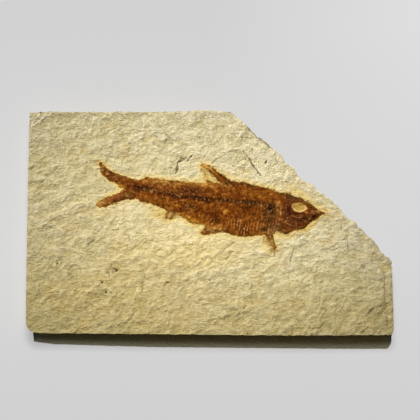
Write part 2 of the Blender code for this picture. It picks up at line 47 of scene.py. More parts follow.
# ---- Outline of the slab's upper rim, as four runs ----
FRONT = [
    (-75.2, -48), (-74, -49.7), (-72.6, -51.1), (-71.2, -51.4), (-40, -51.8), (0, -52.1), (40, -52.6),
    (74.6, -52.3), (75.9, -51.6),
]
RIGHT = [
    (75.9, -51.6), (76.3, -49.6), (76.4, -41), (76.4, -26), (76.4, -21.6), (76.3, -19.2), (75.3, -16.9),
    (73.1, -15.5), (72.1, -14.1), (70.9, -11.6), (66.9, -6.7), (62.3, -1.6), (60.8, 0.1), (58.4, 1.6),
    (56.7, 3.8), (55, 6.3), (53.5, 8.3), (51.5, 10.4), (49.7, 11.7), (46.4, 14.3), (44.3, 16.8),
    (42.5, 18.5), (40.3, 19.2), (39.1, 20.3), (36.7, 24), (35.9, 25.7), (33.8, 26.9), (32.7, 27.8),
    (31.9, 30), (30.2, 32.2), (27.7, 34.3), (24, 38.5), (21.2, 40.2), (19.6, 41.9), (16.3, 46.2),
    (12.6, 49.5), (9.6, 52.6),
]
BACK = [
    (-76.6, 52.5), (-60, 52.6), (-44.4, 52.75), (-14.4, 52.85), (-6, 53.3), (-0.9, 53.5), (5.6, 53),
    (9.6, 52.6),
]
LEFT = [
    (-75.2, -48), (-75.4, -46.4), (-75.5, -41.1), (-75.9, -21.1), (-76.1, -8), (-76.1, -1.1), (-76.4, 18.9),
    (-76.6, 52.5),
]
# The broken corner runs between these places, and is rough within this band of the line.
BREAK_START = (76.0, -19.4)
BREAK_END = (9.6, 52.4)
BREAK_BAND = 6.0
# Cells of the upper face, along and across, and rings of points on the side faces.
COLUMNS = 340
ROWS = 225
SIDE_ROWS = 16
# Masks whose value at the rim runs down the side faces too.
SIDE_MASKS = ("light", "warm", "gap")

# Side faces: share of the thickness below the rim, and how far in from the rim.
SIDE_PROFILE = [
    (0, 0), (0.02, 0.08), (0.12, 0.4), (0.33, 0.75), (0.42, 0.45), (0.68, 0.65), (0.9, 0.25), (0.97, 0.25),
    (1, 0.6),
]
# The front face is hollow, and its foot runs out again: share of the depth and how far in.
FRONT_PROFILE = [
    (0, 0), (0.02, 0.1), (0.1, 0.7), (0.3, 1.25), (0.55, 1.45), (0.74, 1.35), (0.84, 1.1), (0.9, 0.85),
    (0.95, 0.45), (1, -0.05),
]
# The front face is what starts in front of this place, and its foot follows this line.
FRONT_BAND = -50.5
FOOT_LINE = [
    (-72.4, -49.8), (-68.8, -50.4), (-65.9, -50.8), (-61.7, -51.1), (-24.3, -52.3), (54.6, -53.1),
    (73.6, -53.1), (75, -52.5), (75.8, -51.4),
]
# The front left corner is broken off in a slant. At the rim, the stone reaches this far left at each place
# from front to back. Lower down, the limits lie further back and further in by these shares of the drop.
CORNER_LIMIT = [(-55.8, -73.2), (-51.1, -72.6), (-48, -75.2), (-46, -77)]
CORNER_SLANT = 0.51
CORNER_RUN = 0.06
# Levels over the underside at which one bed gives way to the next.
BED_LEVELS = [0.9, 1.7, 3.2, 4.1, 5.6, 6.2, 7.9, 9.3, 10.4, 11.2]

# ---- Relief of the upper face ----
# The bedding is flat round this centre. It turns uneven between these shares of the reach.
CALM_CENTRE = (1.0, 10.0)
CALM_REACH = (56.0, 22.0)
CALM_TURN = (0.75, 1.25)
RIPPLE_ANGLE = math.radians(26.0)
SWELL_HEIGHT = 0.28
SWELL_SPAN = 38.0
SWELL_SLICE = 3.7
RIPPLE_HEIGHT = 0.32
RIPPLE_LENGTH = 15.0
RIPPLE_WIDTH = 5.5
RIPPLE_SLICE = 8.1
RIM_DROP = 0.24
RIM_BEVEL = 0.9
POCKET_DEPTH = 0.30

# Ledges where one bed ends: the line of the ledge, its step and how far it takes to fade out.
LEDGES = [
    ([(-32.5, -4.2), (-33.6, -6), (-33.5, -9.4)], 0.28, 7),
    ([(-40, -49.2), (-33.6, -46.8), (-30, -41)], 0.18, 8),
    ([(9.8, -45.6), (15, -40.2), (18.5, -34), (18.8, -28.5)], 0.2, 9),
    ([(65.5, -44.5), (67, -41), (71, -38.9), (75, -37.6)], 0.22, 8),
    ([(38, -49), (45.5, -49.2), (48.6, -46.6)], 0.16, 6),
    ([(-51, -11.6), (-49.3, -8.9), (-47, -8.4)], 0.22, 5),
]
LEDGE_FACE = 0.25
LEDGE_TAPER = 0.2
# The flaky pattern is warped, and broken into low terraces.
WARP_ALONG = 1.0
WARP_ACROSS = 0.9
WARP_SIZE = 5.0
TERRACE_LENGTH = 7.8
TERRACE_WIDTH = 5.4
TERRACE_COUNT = 2.6
TERRACE_HEIGHT = 0.27
# Grains of the bedding surface: length, width, height and how pebbly.
GRAINS = [
    (6.8, 4.7, 0.24, 0), (4, 3, 0.25, 0.2), (2.4, 1.85, 0.22, 0.4), (1.45, 1.18, 0.205, 0.5),
    (0.94, 0.82, 0.172, 0.4),
]

# ---- Marks in the upper face ----
# Lines waver by this much and over this size. A line's mark ends at this many half widths.
WAVER = 0.45
WAVER_SIZE = 1.5
MARK_REACH = 4.0
MARK_TAPER = 0.15
CRACK_DEPTH = 0.42
CRACK_LIP = 0.3
SCRATCH_RISE = 0.05
RING_DEPTH = 0.12
RING_HALF_WIDTH = 0.4

# Cracks: the line, its half width and how dark it is.
CRACKS = [
    ([(-13.9, 22.1), (-13.3, 24.6), (-13.1, 26.8), (-12.6, 28.8)], 0.38, 0.8),
    ([(-13.3, 27.6), (-12, 28.8), (-11.2, 30.4), (-10.2, 29.6), (-9.2, 30.6), (-8.6, 31)], 0.3, 0.78),
    ([(-11.8, 31.2), (-11.4, 29.4), (-10.8, 28.6)], 0.32, 0.6),
    ([(-9.2, 28.2), (-8.5, 29.6), (-7.8, 30.4), (-6, 32.3)], 0.32, 0.7),
    ([(-18.4, 42.4), (-16.6, 40.1), (-14.9, 37.7)], 0.25, 0.42),
    ([(-19.4, 24.9), (-14.4, 25.4)], 0.35, 0.2), ([(-20.4, 22.4), (-14.4, 22.4)], 0.35, 0.15),
    ([(1.4, 27.6), (3.6, 29.5), (6.1, 30.9), (7.7, 32.5)], 0.32, 0.3),
    ([(7, 32.3), (9.6, 33.3), (12.6, 33.7)], 0.34, 0.2),
    ([(14.6, 34.6), (15.4, 31.9), (17.4, 30.2)], 0.28, 0.34),
    ([(16.6, 31.2), (18.7, 27.2), (20.2, 24.4), (22.9, 20.7)], 0.3, 0.66),
    ([(18.5, 35.4), (18.8, 32.6), (19.9, 30.4)], 0.28, 0.36),
    ([(12, 27), (13.6, 29.2), (16.4, 30)], 0.28, 0.36), ([(24, 26.8), (24.2, 28), (25, 29)], 0.38, 0.85),
    ([(15.2, 27.2), (15.4, 24.8), (13.9, 22.4)], 0.28, 0.36),
    ([(28.1, 30.9), (29.1, 27.9), (28.6, 26.4)], 0.3, 0.28),
    ([(15.9, 45.9), (19.6, 41.6), (27.6, 34.2)], 0.32, 0.45),
    ([(56.4, 2.4), (56.8, 0.9), (55.9, -1.1), (55.6, -5.1)], 0.3, 0.36),
    ([(57.9, -6.1), (58.1, -10.1), (58.6, -13.1), (57.1, -15.6)], 0.3, 0.38),
    ([(46.6, -13.6), (49.6, -13.1), (52.1, -13.6), (54.6, -12.4), (57.6, -12.6)], 0.35, 0.28),
    ([(35.8, -11.9), (34.9, -15.1), (34.2, -19.4)], 0.28, 0.46), ([(40.4, -5.6), (37.1, -8.1)], 0.28, 0.46),
    ([(11.4, -9.3), (7.6, -12.1), (4.8, -15.6)], 0.28, 0.42),
    ([(10.4, -13.4), (8.4, -16.1), (6.6, -18.1)], 0.28, 0.42), ([(-32.9, -4.1), (-29.9, -3.1)], 0.32, 0.25),
    ([(-33.3, -6.1), (-33.4, -9.6)], 0.34, 0.3), ([(-32.9, -13.6), (-30.4, -11.6)], 0.32, 0.24),
    ([(-39.9, -19.1), (-41.4, -23.1), (-41.2, -26.1)], 0.32, 0.38),
    ([(-40, -21.9), (-38.6, -22.3), (-37.4, -23.3)], 0.34, 0.5),
    ([(-26, -24.6), (-27.2, -27.6), (-27.6, -33.6)], 0.3, 0.42),
    ([(-18.8, -30.8), (-17.6, -29), (-15.8, -28)], 0.32, 0.5), ([(-50.4, -11.1), (-47.9, -8.6)], 0.34, 0.3),
    ([(-63.4, -13.1), (-59.9, -9.1)], 0.34, 0.24),
    ([(-42, -49), (-35.9, -47.4), (-33.2, -46.4), (-29.4, -40.6)], 0.3, 0.3),
    ([(10.8, -45.1), (12.6, -42.6), (15.6, -39.6)], 0.34, 0.38),
    ([(18.1, -35.1), (18.1, -29.1)], 0.32, 0.24),
    ([(47.1, -44.6), (47.6, -42.6), (49.6, -40.6)], 0.34, 0.36),
    ([(40.6, -49.4), (45.1, -49.4), (48.1, -46.9)], 0.32, 0.24),
    ([(65.6, -44.1), (67.1, -41.1), (70.6, -39.6), (75.1, -37.6)], 0.34, 0.34),
    ([(62.6, -51.6), (66.6, -48.6)], 0.34, 0.35),
    ([(72.9, -21.5), (73.2, -30), (72.9, -40), (73.9, -47), (73.5, -51)], 0.34, 0.28),
]

# Pale scratches and scuffs: the line, its half width and its strength.
SCRATCHES = [
    ([(-76.2, 44.2), (-74.4, 48.6), (-71.8, 52.6)], 0.3, 0.8),
    ([(-75.6, 45.4), (-71.6, 48.9), (-67, 52.4)], 0.3, 0.8),
    ([(-55.6, 45.4), (-53.2, 48.9), (-50.7, 52.4)], 0.32, 0.65),
    ([(-48.8, 43), (-48.6, 37), (-48.2, 31.4)], 0.28, 0.4),
    ([(-50.6, 41.2), (-49.9, 46.9), (-48.6, 51)], 0.34, 0.7),
    ([(-27.1, 51.9), (-28.1, 43.9), (-29.2, 37.4), (-31.8, 33.2), (-34.4, 30.3)], 0.4, 0.85),
    ([(-25.4, 47.4), (-21.9, 44.9), (-18.4, 42.4)], 0.5, 0.45),
    ([(-22.9, 42.9), (-19.9, 41.6), (-17.4, 42.9)], 0.45, 0.3),
    ([(-19.4, 45.9), (-15.9, 45.3), (-12.4, 45.4)], 0.6, 0.3), ([(72.1, -42.1), (75.4, -44.4)], 0.4, 0.55),
    ([(-72.9, 6.9), (-71.9, 10.4), (-70.4, 11.9)], 0.45, 0.4), ([(63.9, -23.3), (66.6, -22.1)], 0.6, 0.65),
    ([(56.4, -33.4), (59.6, -31.6)], 0.7, 0.3),
]

# Pits: place, radius, depth and darkness; and faint rings: place, radius and darkness.
PITS = [
    (-63, -19.6, 0.64, 0.6, 0.95), (-38.4, -22.9, 0.56, 0.5, 0.95), (-44.2, -28.3, 0.6, 0.6, 1),
    (-42.4, -32.8, 0.6, 0.6, 1), (0.6, -27.4, 0.55, 0.5, 0.9), (-15.9, -21.1, 0.4, 0.25, 0.4),
    (-49.4, -15.8, 0.4, 0.25, 0.4), (64.4, -21.1, 1.25, 0.45, 0.45), (7.6, -29.8, 0.4, 0.2, 0.4),
    (4.9, -28.6, 0.4, 0.2, 0.35),
]
RINGS = [(-63.9, -19.3, 2.7, 0.34), (-55.7, -23.1, 2.6, 0.32)]

# ---- The fish, drawn with its origin half way along its length ----
FISH_PLACE = (0.6, -1.1)
# Cell of the fish's mesh, how far it runs out past the outline, and how deep its hidden walls go.
FISH_STEP = 0.165
SINK = 0.40
WALL_DEPTH = 0.7
# The body is domed, and it smooths the bed that it lies on.
DOME_HEIGHT = 0.36
DOME_REACH = 2.2
BED_SMOOTHING = 0.6

# The outline, run by run. Fins have a leading and a trailing edge, each from its root to its tip.

BACK_FRONT = [
    (48.4, 5), (48, 5.5), (46.9, 5.8), (45.5, 6.1), (45, 7.2), (44.6, 7.7), (44, 7.7), (43, 8.9), (42, 9.7),
    (40.6, 10.2), (39.9, 10.6), (39.4, 11.4), (38, 12.3), (36, 12.9), (34, 13.9), (32, 14.4), (30, 14.4),
    (28, 15.2), (25, 16.3), (22, 17.5), (20, 17.8), (18, 18.3), (16, 19), (14, 19.7), (12, 19.6),
    (9.2, 20.1),
]
DORSAL_LEAD = [
    (9.2, 20.1), (7.9, 21), (6.8, 22), (5.2, 23.2), (3.2, 24.7), (1.9, 25.9), (0.4, 27), (-1.6, 27.9),
    (-3.4, 28.2),
]
DORSAL_TRAIL = [
    (4.2, 19.4), (3.3, 20.7), (2.4, 21.9), (1.1, 23.4), (-0.1, 24.5), (-1.2, 25.7), (-2.4, 26.7),
    (-3.6, 27.5),
]
BACK_REAR = [
    (4.2, 19.4), (2.4, 19.4), (0.4, 19.5), (-1, 20.1), (-1.4, 19.4), (-5, 19.2), (-9, 19.6), (-12, 20),
    (-16.2, 20.4), (-20.6, 20.9), (-24.9, 21.6), (-26.9, 22.1), (-27.5, 21.6), (-29.3, 20.7), (-31.4, 20.7),
]
UPPER_LOBE_LEAD = [
    (-31.4, 20.7), (-33.6, 21.6), (-35.8, 22.4), (-38, 23.1), (-40.1, 24.2), (-41.8, 25), (-43.3, 26.1),
    (-44.8, 28), (-46.2, 29.3), (-47.1, 29.4),
]
UPPER_LOBE_TRAIL = [
    (-36.6, 17), (-38, 17.4), (-39.3, 19), (-40.6, 19.9), (-41.4, 19.8), (-42.7, 20.3), (-43.2, 21.5),
    (-44.5, 22.3), (-45.6, 23.3), (-46, 25), (-46.3, 26.6), (-46.9, 28),
]
LOWER_LOBE_TRAIL = [
    (-36.6, 16.2), (-38, 14.9), (-40.1, 13.8), (-42.3, 12.9), (-44.5, 11.9), (-46.2, 11), (-47.5, 10.1),
]
LOWER_LOBE_LEAD = [
    (-29.9, 11.3), (-31.4, 11.9), (-33.6, 11.6), (-35.8, 11.4), (-38, 10.5), (-40.1, 9.7), (-42.3, 8.6),
    (-44.5, 7.9), (-46.6, 8), (-47.8, 9),
]
BELLY_TAIL = [
    (-29.9, 11.3), (-29.2, 10.5), (-27.5, 10.3), (-24.9, 9.4), (-22.7, 8.5), (-20.6, 7.6), (-18.8, 6.8),
    (-18, 5.9),
]
ANAL_TRAIL = [(-18, 5.9), (-18.4, 4.4), (-18.2, 3)]
ANAL_LEAD = [(-13.6, 4.5), (-14.8, 3.7), (-15.8, 2.7), (-16.8, 2.1), (-18, 2.5)]
BELLY_REAR = [(-13.6, 4.5), (-13, 4.1), (-10.9, 3.1), (-8.6, 1), (-6.4, 0.2), (-4.1, -0.1), (-2.4, -0.4)]
PELVIC_TRAIL = [(-2.4, -0.4), (-1.8, -1.6), (-2.2, -2.4), (-3, -3.1), (-4.1, -3.8)]
PELVIC_LEAD = [
    (6.8, -4), (5.4, -3.7), (4, -3.9), (2, -4.4), (0.4, -4.6), (-1, -4.9), (-2.2, -5.2), (-3.5, -4.8),
]
BELLY_FRONT = [
    (6.8, -4), (8.4, -4.7), (11, -5.4), (14, -5.9), (17, -5.9), (20, -5.1), (21.4, -5.4), (23, -5.2),
]
PECTORAL_TRAIL = [(23, -5.2), (24, -6.2), (25, -8), (25.7, -10), (26.4, -11.6)]
PECTORAL_LEAD = [(26.4, -5), (26.4, -6.5), (26.8, -8.5), (27.5, -10.8), (27.1, -12.2)]
THROAT = [
    (26.4, -5), (27, -4.2), (28, -3.4), (29.2, -3), (30, -3.7), (31, -4.5), (32, -4.8), (33, -4.4),
    (34, -3.8), (36, -3), (38, -2.6), (39.4, -2.3), (40.2, -1.3), (42, 0.6), (44, 2), (46, 3.4),
    (48.4, 4.9),
]
# Fins with their number of rays.
FIN_RAYS = [
    (UPPER_LOBE_LEAD, UPPER_LOBE_TRAIL, 5), (LOWER_LOBE_LEAD, LOWER_LOBE_TRAIL, 5),
    (PELVIC_LEAD, PELVIC_TRAIL, 3), (DORSAL_LEAD, DORSAL_TRAIL, 3), (PECTORAL_LEAD, PECTORAL_TRAIL, 2),
    (ANAL_LEAD, ANAL_TRAIL, 2),
]
SPINE = [
    (-36, 17), (-30, 16.5), (-24, 15.6), (-18, 14), (-12, 12.6), (-6, 11.8), (0, 11.2), (8, 10.8), (18, 10),
    (28, 9.3), (31, 9.2),
]
RIB_SPACING = 1.22
BEAD_SPACING = 1.72
BEAD_HALF_WIDTH = 0.70
BAND_HALF_WIDTH = 1.15
EYE_CENTRE = (37.6, 7.6)
EYE_AXES = (3.25, 2.35)
EYE_TURN = math.radians(-8.0)
CHEEK = (37.4, 6.6)
ARC_SPACING = 1.12

# Bones of the head and streaks on the body: the line, half width, rise, and how pale (+) or dark (-).
STROKES = [
    ([(28.9, 12.8), (30.3, 9), (30.3, 4), (29.4, -1.6)], 0.55, 0.16, 0),
    ([(33, 11.8), (32.3, 7.5), (32.9, 3.4), (35, -0.2), (38.6, -1.2)], 0.55, 0.12, 0),
    ([(44.6, 5.9), (41.6, 8.7), (38, 11.2), (33.4, 12.9)], 0.6, 0.16, 0),
    ([(34.3, 4.2), (35.4, 3.2), (37, 2.6), (38.8, 3.1), (39.6, 3.8)], 0.3, 0.1, 0.45),
    ([(33.3, 3.2), (34.2, 1.8), (36, 1), (38.4, 0.9), (39.6, 1.4)], 0.28, 0.08, 0.25),
    ([(38.8, 0.5), (41, 1.4), (42.4, 2.9), (43.2, 5)], 0.32, 0.08, 0.35),
    ([(31, 2.2), (31.8, 0.8), (33, -0.5), (34.6, -1.5), (36.4, -1.1)], 0.32, 0.1, 0.42),
    ([(28.2, 8.7), (28.9, 9.5), (29.6, 10.4)], 0.36, 0.05, 0.6),
    ([(28, 6.3), (28.2, 8.1)], 0.28, 0.05, 0.7), ([(29.6, 8.2), (29.8, 5.8), (29.5, 3.6)], 0.34, 0.05, 0.5),
    ([(30.3, 6), (29.7, 3.4), (30.4, 1.4), (31.2, 0.2)], 0.24, 0.05, 0.45),
    ([(43.8, 6.2), (45.2, 5.3), (46.8, 4.7)], 0.28, 0.04, 0.4),
    ([(31.3, 12.6), (31.9, 11.5)], 0.34, 0.04, 0.5), ([(34.3, 12.2), (35.4, 11)], 0.32, 0.04, 0.2),
    ([(24.2, 8), (24.1, 6.6), (24.8, 5.8)], 0.3, 0.04, 0.35),
    ([(15, 14.6), (18, 13.8), (21.5, 13.7), (25.6, 13.1)], 0.3, 0.04, 0.3),
    ([(12, 3.4), (11.5, 0.6), (10.9, -2)], 0.3, 0.06, 0.6),
    ([(12.9, 2.6), (12.6, 0), (12, -2.8)], 0.26, 0.06, 0.52), ([(9.6, 1.4), (9.2, -1.2)], 0.24, 0.04, 0.3),
    ([(17.8, 1.8), (17.2, -0.8)], 0.26, 0.04, 0.35), ([(18.5, 0.4), (18.2, -1.2)], 0.28, 0.04, 0.45),
    ([(18.4, -2), (19.3, -3.6)], 0.26, 0.04, 0.5), ([(19.2, -0.8), (19.9, -2.4)], 0.26, 0.04, 0.5),
    ([(15.2, -2.4), (15.6, -3.8)], 0.26, 0.04, 0.4), ([(20.6, 1.8), (20.2, -0.4)], 0.24, 0.04, 0.3),
    ([(-2.8, 5.8), (-3.8, 4)], 0.26, 0.04, 0.45), ([(0.9, 0.6), (0.2, -1.8)], 0.28, 0.04, 0.4),
    ([(6.2, 18.4), (7.1, 16.8)], 0.3, 0.04, 0.55), ([(1.4, 17.6), (1.6, 15.6)], 0.4, 0.02, 0.2),
    ([(2.2, 26), (4.8, 23.2), (7.4, 20.6)], 0.36, 0.04, -0.85),
    ([(1, 26), (3.2, 23.4), (5.6, 20.6)], 0.22, 0.04, 0.45),
    ([(0.8, 25), (3, 22.6), (4.6, 20.2)], 0.22, 0.03, -0.5), ([(1.8, 26.2), (2.4, 25)], 0.5, 0.04, -0.6),
    ([(34.6, 0.4), (36.6, -0.3), (39, -0.2), (40.8, 0.6)], 0.26, 0.05, 0.3),
    ([(32.2, 4.6), (32.4, 2.4), (33.4, 0.9), (34.6, 0)], 0.26, 0.05, 0.35),
    ([(31.2, 8.6), (31, 5.6), (31.4, 3.4)], 0.26, 0.04, 0.25),
    ([(42, 6.4), (43.4, 5.2), (43.8, 3.8)], 0.3, 0.04, 0.45),
    ([(33.6, 9.6), (33.3, 7), (34, 4.9), (36.2, 4.3), (38.8, 4.5)], 0.46, -0.05, -0.65),
    ([(28.4, 9), (28.5, 6), (28.3, 3.4)], 0.24, 0, -0.4), ([(30.2, 0.4), (31.6, -1.6)], 0.4, 0, -0.35),
    ([(35.6, 1.9), (38, 1.9), (40.2, 3)], 0.4, -0.03, -0.45),
    ([(36, -0.4), (39, -0.4), (41, 0.4)], 0.4, 0, -0.4),
    ([(42.6, 4), (43.6, 3), (44.8, 3.4)], 0.4, 0, -0.6),
    ([(45.4, 6.4), (46.8, 5.5), (48.2, 5.2)], 0.26, 0, -0.5),
    ([(-36, 22.2), (-41, 23.6), (-45.4, 26.6)], 0.4, 0.03, -0.35),
    ([(-34, 13.6), (-39, 12.2), (-43.6, 10.2)], 0.4, 0, -0.35),
    ([(-14.2, 5.4), (-15.6, 4), (-16.8, 2.7)], 0.22, 0.05, -0.8),
    ([(-16, 6.2), (-17.2, 5.2), (-18.2, 4.2)], 0.22, 0.05, -0.8),
    ([(-14.8, 6), (-16.4, 4.6), (-17.6, 3.2)], 0.2, 0.05, -0.6),
    ([(-15.2, 5.9), (-16.8, 4.6), (-18, 3.4)], 0.18, 0.04, 0.25),
    ([(5.6, -2.4), (1.4, -3.4), (-2.8, -4.5)], 0.22, 0.04, -0.8),
    ([(3.6, -1.2), (0.2, -2.2), (-2.4, -3)], 0.22, 0.04, -0.6),
    ([(5, -3.2), (1, -4.1), (-2.4, -4.9)], 0.2, 0.04, -0.5),
    ([(4.6, -1.8), (0.8, -2.8), (-2.6, -3.8)], 0.22, 0.04, 0.4),
    ([(25.2, -3.8), (26.3, -7), (27.1, -11.2)], 0.3, 0.06, -0.95),
    ([(23.8, -5.2), (24.9, -7.4), (25.8, -9.8)], 0.26, 0.05, -0.3),
    ([(-37.4, 20.2), (-41.6, 21.8), (-44.6, 24.4)], 0.26, 0.03, 0.35),
    ([(-33, 15.4), (-38, 13.4), (-43, 11.4)], 0.24, 0.03, 0.3),
]
# Pale points, painted as glints of highlight on the bone: place and strength.
GLINTS = [
    (-9.2, 5, 1), (-8.8, 5.1, 0.8), (-4.5, 3.5, 0.8), (-3.4, 2.7, 0.6), (-0.7, 0.7, 0.8), (-2.6, -0.5, 0.9),
    (2.2, -1.2, 0.7), (4.3, -1.2, 0.8), (7.8, -3.6, 0.5), (14.9, -1.4, 0.6), (14.4, -2.5, 0.9),
    (5.7, 7.2, 0.5), (4.9, 12.1, 0.5), (-7.5, 11, 0.4), (-6, 12, 0.5), (-4, 11.8, 0.4), (-2.3, 11.6, 0.4),
    (15.2, 15.5, 0.5), (4.4, 19.2, 0.8), (4.8, 18.4, 0.7), (8, 17.2, 0.5), (10, 16.8, 0.4),
    (21.7, 8.4, 0.9), (23, 8.5, 0.5), (22.6, 5, 0.6), (26.9, 3.8, 0.5), (31.8, 0.9, 0.7), (29.1, -1.8, 0.7),
    (27.2, -1, 0.5), (21.3, -2.1, 0.7), (22.3, -4.4, 0.6), (20.9, -4.2, 0.4), (29.3, 10.5, 0.6),
    (-36.4, 17, 1), (-37, 16.9, 1), (-26.4, 17.2, 0.5), (-28.4, 15.4, 0.4), (-25.2, 15.5, 0.5),
    (-13, 12.5, 0.5), (-12, 14, 0.6), (-10.2, 13.3, 0.4), (-14, 13.2, 0.5), (-43.4, 24, 0.5),
    (-44.2, 22.6, 0.4), (-40.2, 12, 0.5), (-30.6, 14.3, 0.4), (37.7, -2, 0.6), (47.2, 6.3, 0.3),
    (16.4, 2.6, 0.3), (19.6, 4.8, 0.4), (17, -4, 0.4), (-20.6, 12.2, 0.4), (-18.2, 14.8, 0.4),
    (-16.4, 11.4, 0.4),
]

# Patches on the fish: centre, reach along and across, turn in degrees, and what they add to a mask.
# Tone runs from dark to light.
TONE_PATCHES = [
    (-7, 15, 5, 2.2, -8, -0.16), (-8.5, 8, 2.4, 2, 0, -0.1), (0, 5, 5, 2.4, -14, -0.1),
    (15.5, 7.2, 4, 2.8, 0, -0.17), (26.4, 6.8, 1.6, 2.6, 10, -0.2), (24, 6.4, 1.6, 2.2, 0, -0.1),
    (25.6, 8.4, 2.4, 1, -10, -0.08), (25, 3.8, 3, 5.2, 0, -0.13), (22.5, -2.8, 1.3, 1.1, 0, -0.26),
    (33, 7, 1.9, 4.6, 4, -0.13), (38, 2.4, 4.8, 2, 8, -0.14), (34.4, 12.2, 5, 1.2, -22, -0.1),
    (15, 18.2, 9, 1, -9, -0.14), (-31, 17.2, 6, 1.8, -8, -0.18), (-41, 23.4, 5, 1.6, -38, -0.04),
    (-38, 12.6, 6, 1.8, 24, -0.12), (13.8, -3.2, 3, 1.5, 0, -0.08), (2.6, 1.4, 2.2, 1.5, 0, -0.1),
    (19, 10, 4, 1.4, 0, -0.08), (43.5, 3.2, 1.6, 1.2, 40, -0.12), (-6.5, 1.9, 5, 1.1, -20, 0.21),
    (-13, 4.6, 2.8, 1.1, -34, 0.16), (4, 15, 5.5, 2, 0, -0.04), (12.5, 15.2, 3.4, 1.5, 0, 0.02),
    (6.4, 5.2, 0.6, 0.8, 0, 0.2), (7, 5.2, 1.9, 1.5, 0, 0.12), (3.4, 7, 1.8, 1.2, 0, 0.12),
    (-3.5, 18.4, 7, 0.9, -3, 0.22), (-22, 19.5, 6, 1.3, -4, 0.16), (-26, 13, 3.4, 1.2, -14, 0.03),
    (-19, 12.4, 4.4, 1.5, -14, -0.09), (-45.8, 9.2, 2.6, 1.3, 12, 0.2), (-37.2, 17.3, 1.4, 1, 40, 0.3),
    (29.2, 6.8, 0.7, 3.8, -4, 0.02), (21.5, 13, 4, 2, 0, 0.06), (40.4, 5.2, 0.8, 0.6, 0, 0.45),
    (6.8, 18.6, 2.4, 1.2, 0, -0.07), (1.6, -2.9, 5, 1.7, -6, 0.19), (45.4, 5.2, 1.8, 0.5, -24, 0.14),
    (19, -2.6, 3, 1.8, 0, 0.08), (-1.8, 27, 2.8, 1, -24, 0.4), (5.2, 22.4, 4.2, 1.4, -48, -0.15),
    (2.2, 23.6, 3.6, 0.6, -46, 0.12), (-16.6, 3.8, 2.6, 1.8, -30, 0.3), (-2.4, -4.4, 2, 1, 0, 0.1),
    (-46.6, 28.8, 1.4, 1.2, 0, 0.3), (44.4, 4.9, 2, 1.2, -24, -0.08), (26, -8.4, 1.8, 4, 8, 0.19),
    (26.2, -7.4, 0.7, 3, 16, -0.12), (28.6, -1.4, 2.2, 2, 0, 0.07), (41.5, 1.6, 2.2, 1.2, 38, -0.13),
    (36, -1.4, 5, 1.7, 10, -0.06), (-41.6, 11.8, 6, 2, 24, 0.12), (-10, 13.8, 8, 2.6, -8, -0.1),
    (2, 3, 4, 2.4, -20, -0.08),
]
PLUM_PATCHES = [
    (33.4, 7, 2.2, 5, 4, 0.8), (38.4, 2.4, 5.4, 2.2, 8, 0.75), (25.6, -2.6, 1.4, 1.6, 0, 0.6),
    (34.6, 12, 4.2, 1.3, -20, 0.75), (-7, 14.6, 4.4, 2.2, -8, 0.35), (12.4, 1, 0.6, 3, -8, 0.3),
    (-9.2, 5, 1, 0.5, 0, 0.45), (14.6, -3.4, 2.4, 1.4, 0, 0.35), (-30, 17, 5, 1.4, -8, 0.3),
    (-42, 23.4, 4, 1.2, -38, 0.4), (-36.8, 17, 0.9, 0.6, 20, 0.5), (28.6, -1.2, 2.4, 2.2, 0, 0.8),
    (34.4, -1.4, 5, 1.9, 8, 0.5), (32, 3, 2, 3, 0, 0.4), (44.6, 4.9, 2.6, 1.3, -24, 0.8),
    (-19, 15.4, 7, 1.8, -10, 0.35), (-37, 12.8, 5, 1.4, 24, 0.45),
]
OLIVE_PATCHES = [
    (26.3, 6.4, 2, 3.2, 10, 0.38), (25, 3.4, 2.8, 4.6, 0, 0.5), (22, 9, 3, 1.2, 0, 0.4),
    (22.5, -2.9, 1.6, 1.4, 0, 0.85), (1.6, -3.2, 5, 1.6, -4, 0.5), (-8.4, 7.6, 2.4, 1.6, 0, 0.45),
    (3, 10.8, 8, 1, -3, 0.35), (17, 9.8, 5, 1.2, 0, 0.45), (-26, 16, 3, 0.8, -8, 0.5),
    (28.6, 7, 0.5, 2.4, 0, 0.5), (41.5, 9, 2.4, 1, -30, 0.6), (36, 12.4, 4.6, 1.2, -22, 0.45),
    (28, -1.6, 2, 2, 0, 0.5), (32, -4, 1.8, 0.7, 0, 0.5), (-34, 13.4, 4, 1.2, 24, 0.4),
    (43.6, 2.8, 1.6, 0.8, 40, 0.5), (30, 14, 2.4, 0.8, -6, 0.4), (16, 18.8, 5, 0.6, -14, 0.4),
    (-16.6, 3.8, 2.8, 2, -30, 1), (-45.9, 27.4, 1.8, 2.6, 20, 0.9), (26.4, -8.4, 1.8, 4.4, 6, 1),
    (-41, 23.8, 5, 1.8, -38, 0.45), (-20, 19.4, 7, 1.4, -4, 0.45), (-5, 18.2, 6, 1.2, -3, 0.4),
    (7, 19, 2.6, 1.3, 0, 0.55), (-45.4, 9.6, 3, 1.6, 14, 0.6), (-1.8, 27.2, 3, 1.2, -24, 0.85),
    (37, -2.6, 4, 0.8, 12, 0.45),
]
# Where the bone is flecked paler (+) or darker (-); the pale flecks are partly painted glints.
FLECK_PATCHES = [
    (-20, 15, 9, 4, -10, 0.14), (-40, 12.6, 6, 2.4, 24, 0.3), (-40, 22, 6, 2.4, -32, 0.18),
    (0, 16, 8, 2.6, -4, 0.12), (3, 6, 7, 3, -8, -0.22), (17, 6, 5, 3, 0, -0.2), (6.6, 18.4, 2, 1.4, 0, 0.2),
    (15, -2.8, 5, 2, 0, 0.12), (1, -1.4, 5, 1.8, -10, 0.14), (25, 5, 3, 5, 0, 0.02),
    (28.8, 8, 1.2, 3.4, 0, 0.18), (44.5, 5.4, 2.6, 1.2, -24, 0.2), (-12, 13, 5, 1.8, -10, 0.12),
    (-9, 3.2, 4, 1.4, -18, -0.28), (-10, 8, 4.4, 2.2, 0, -0.12), (-16.6, 3.8, 2.2, 1.6, -30, 0.1),
    (26.2, -8.6, 1.4, 3.4, 8, 0.28), (35.6, 12.2, 5, 1.4, -22, 0.24), (-1.8, 26.8, 2.6, 1, -24, 0.3),
]
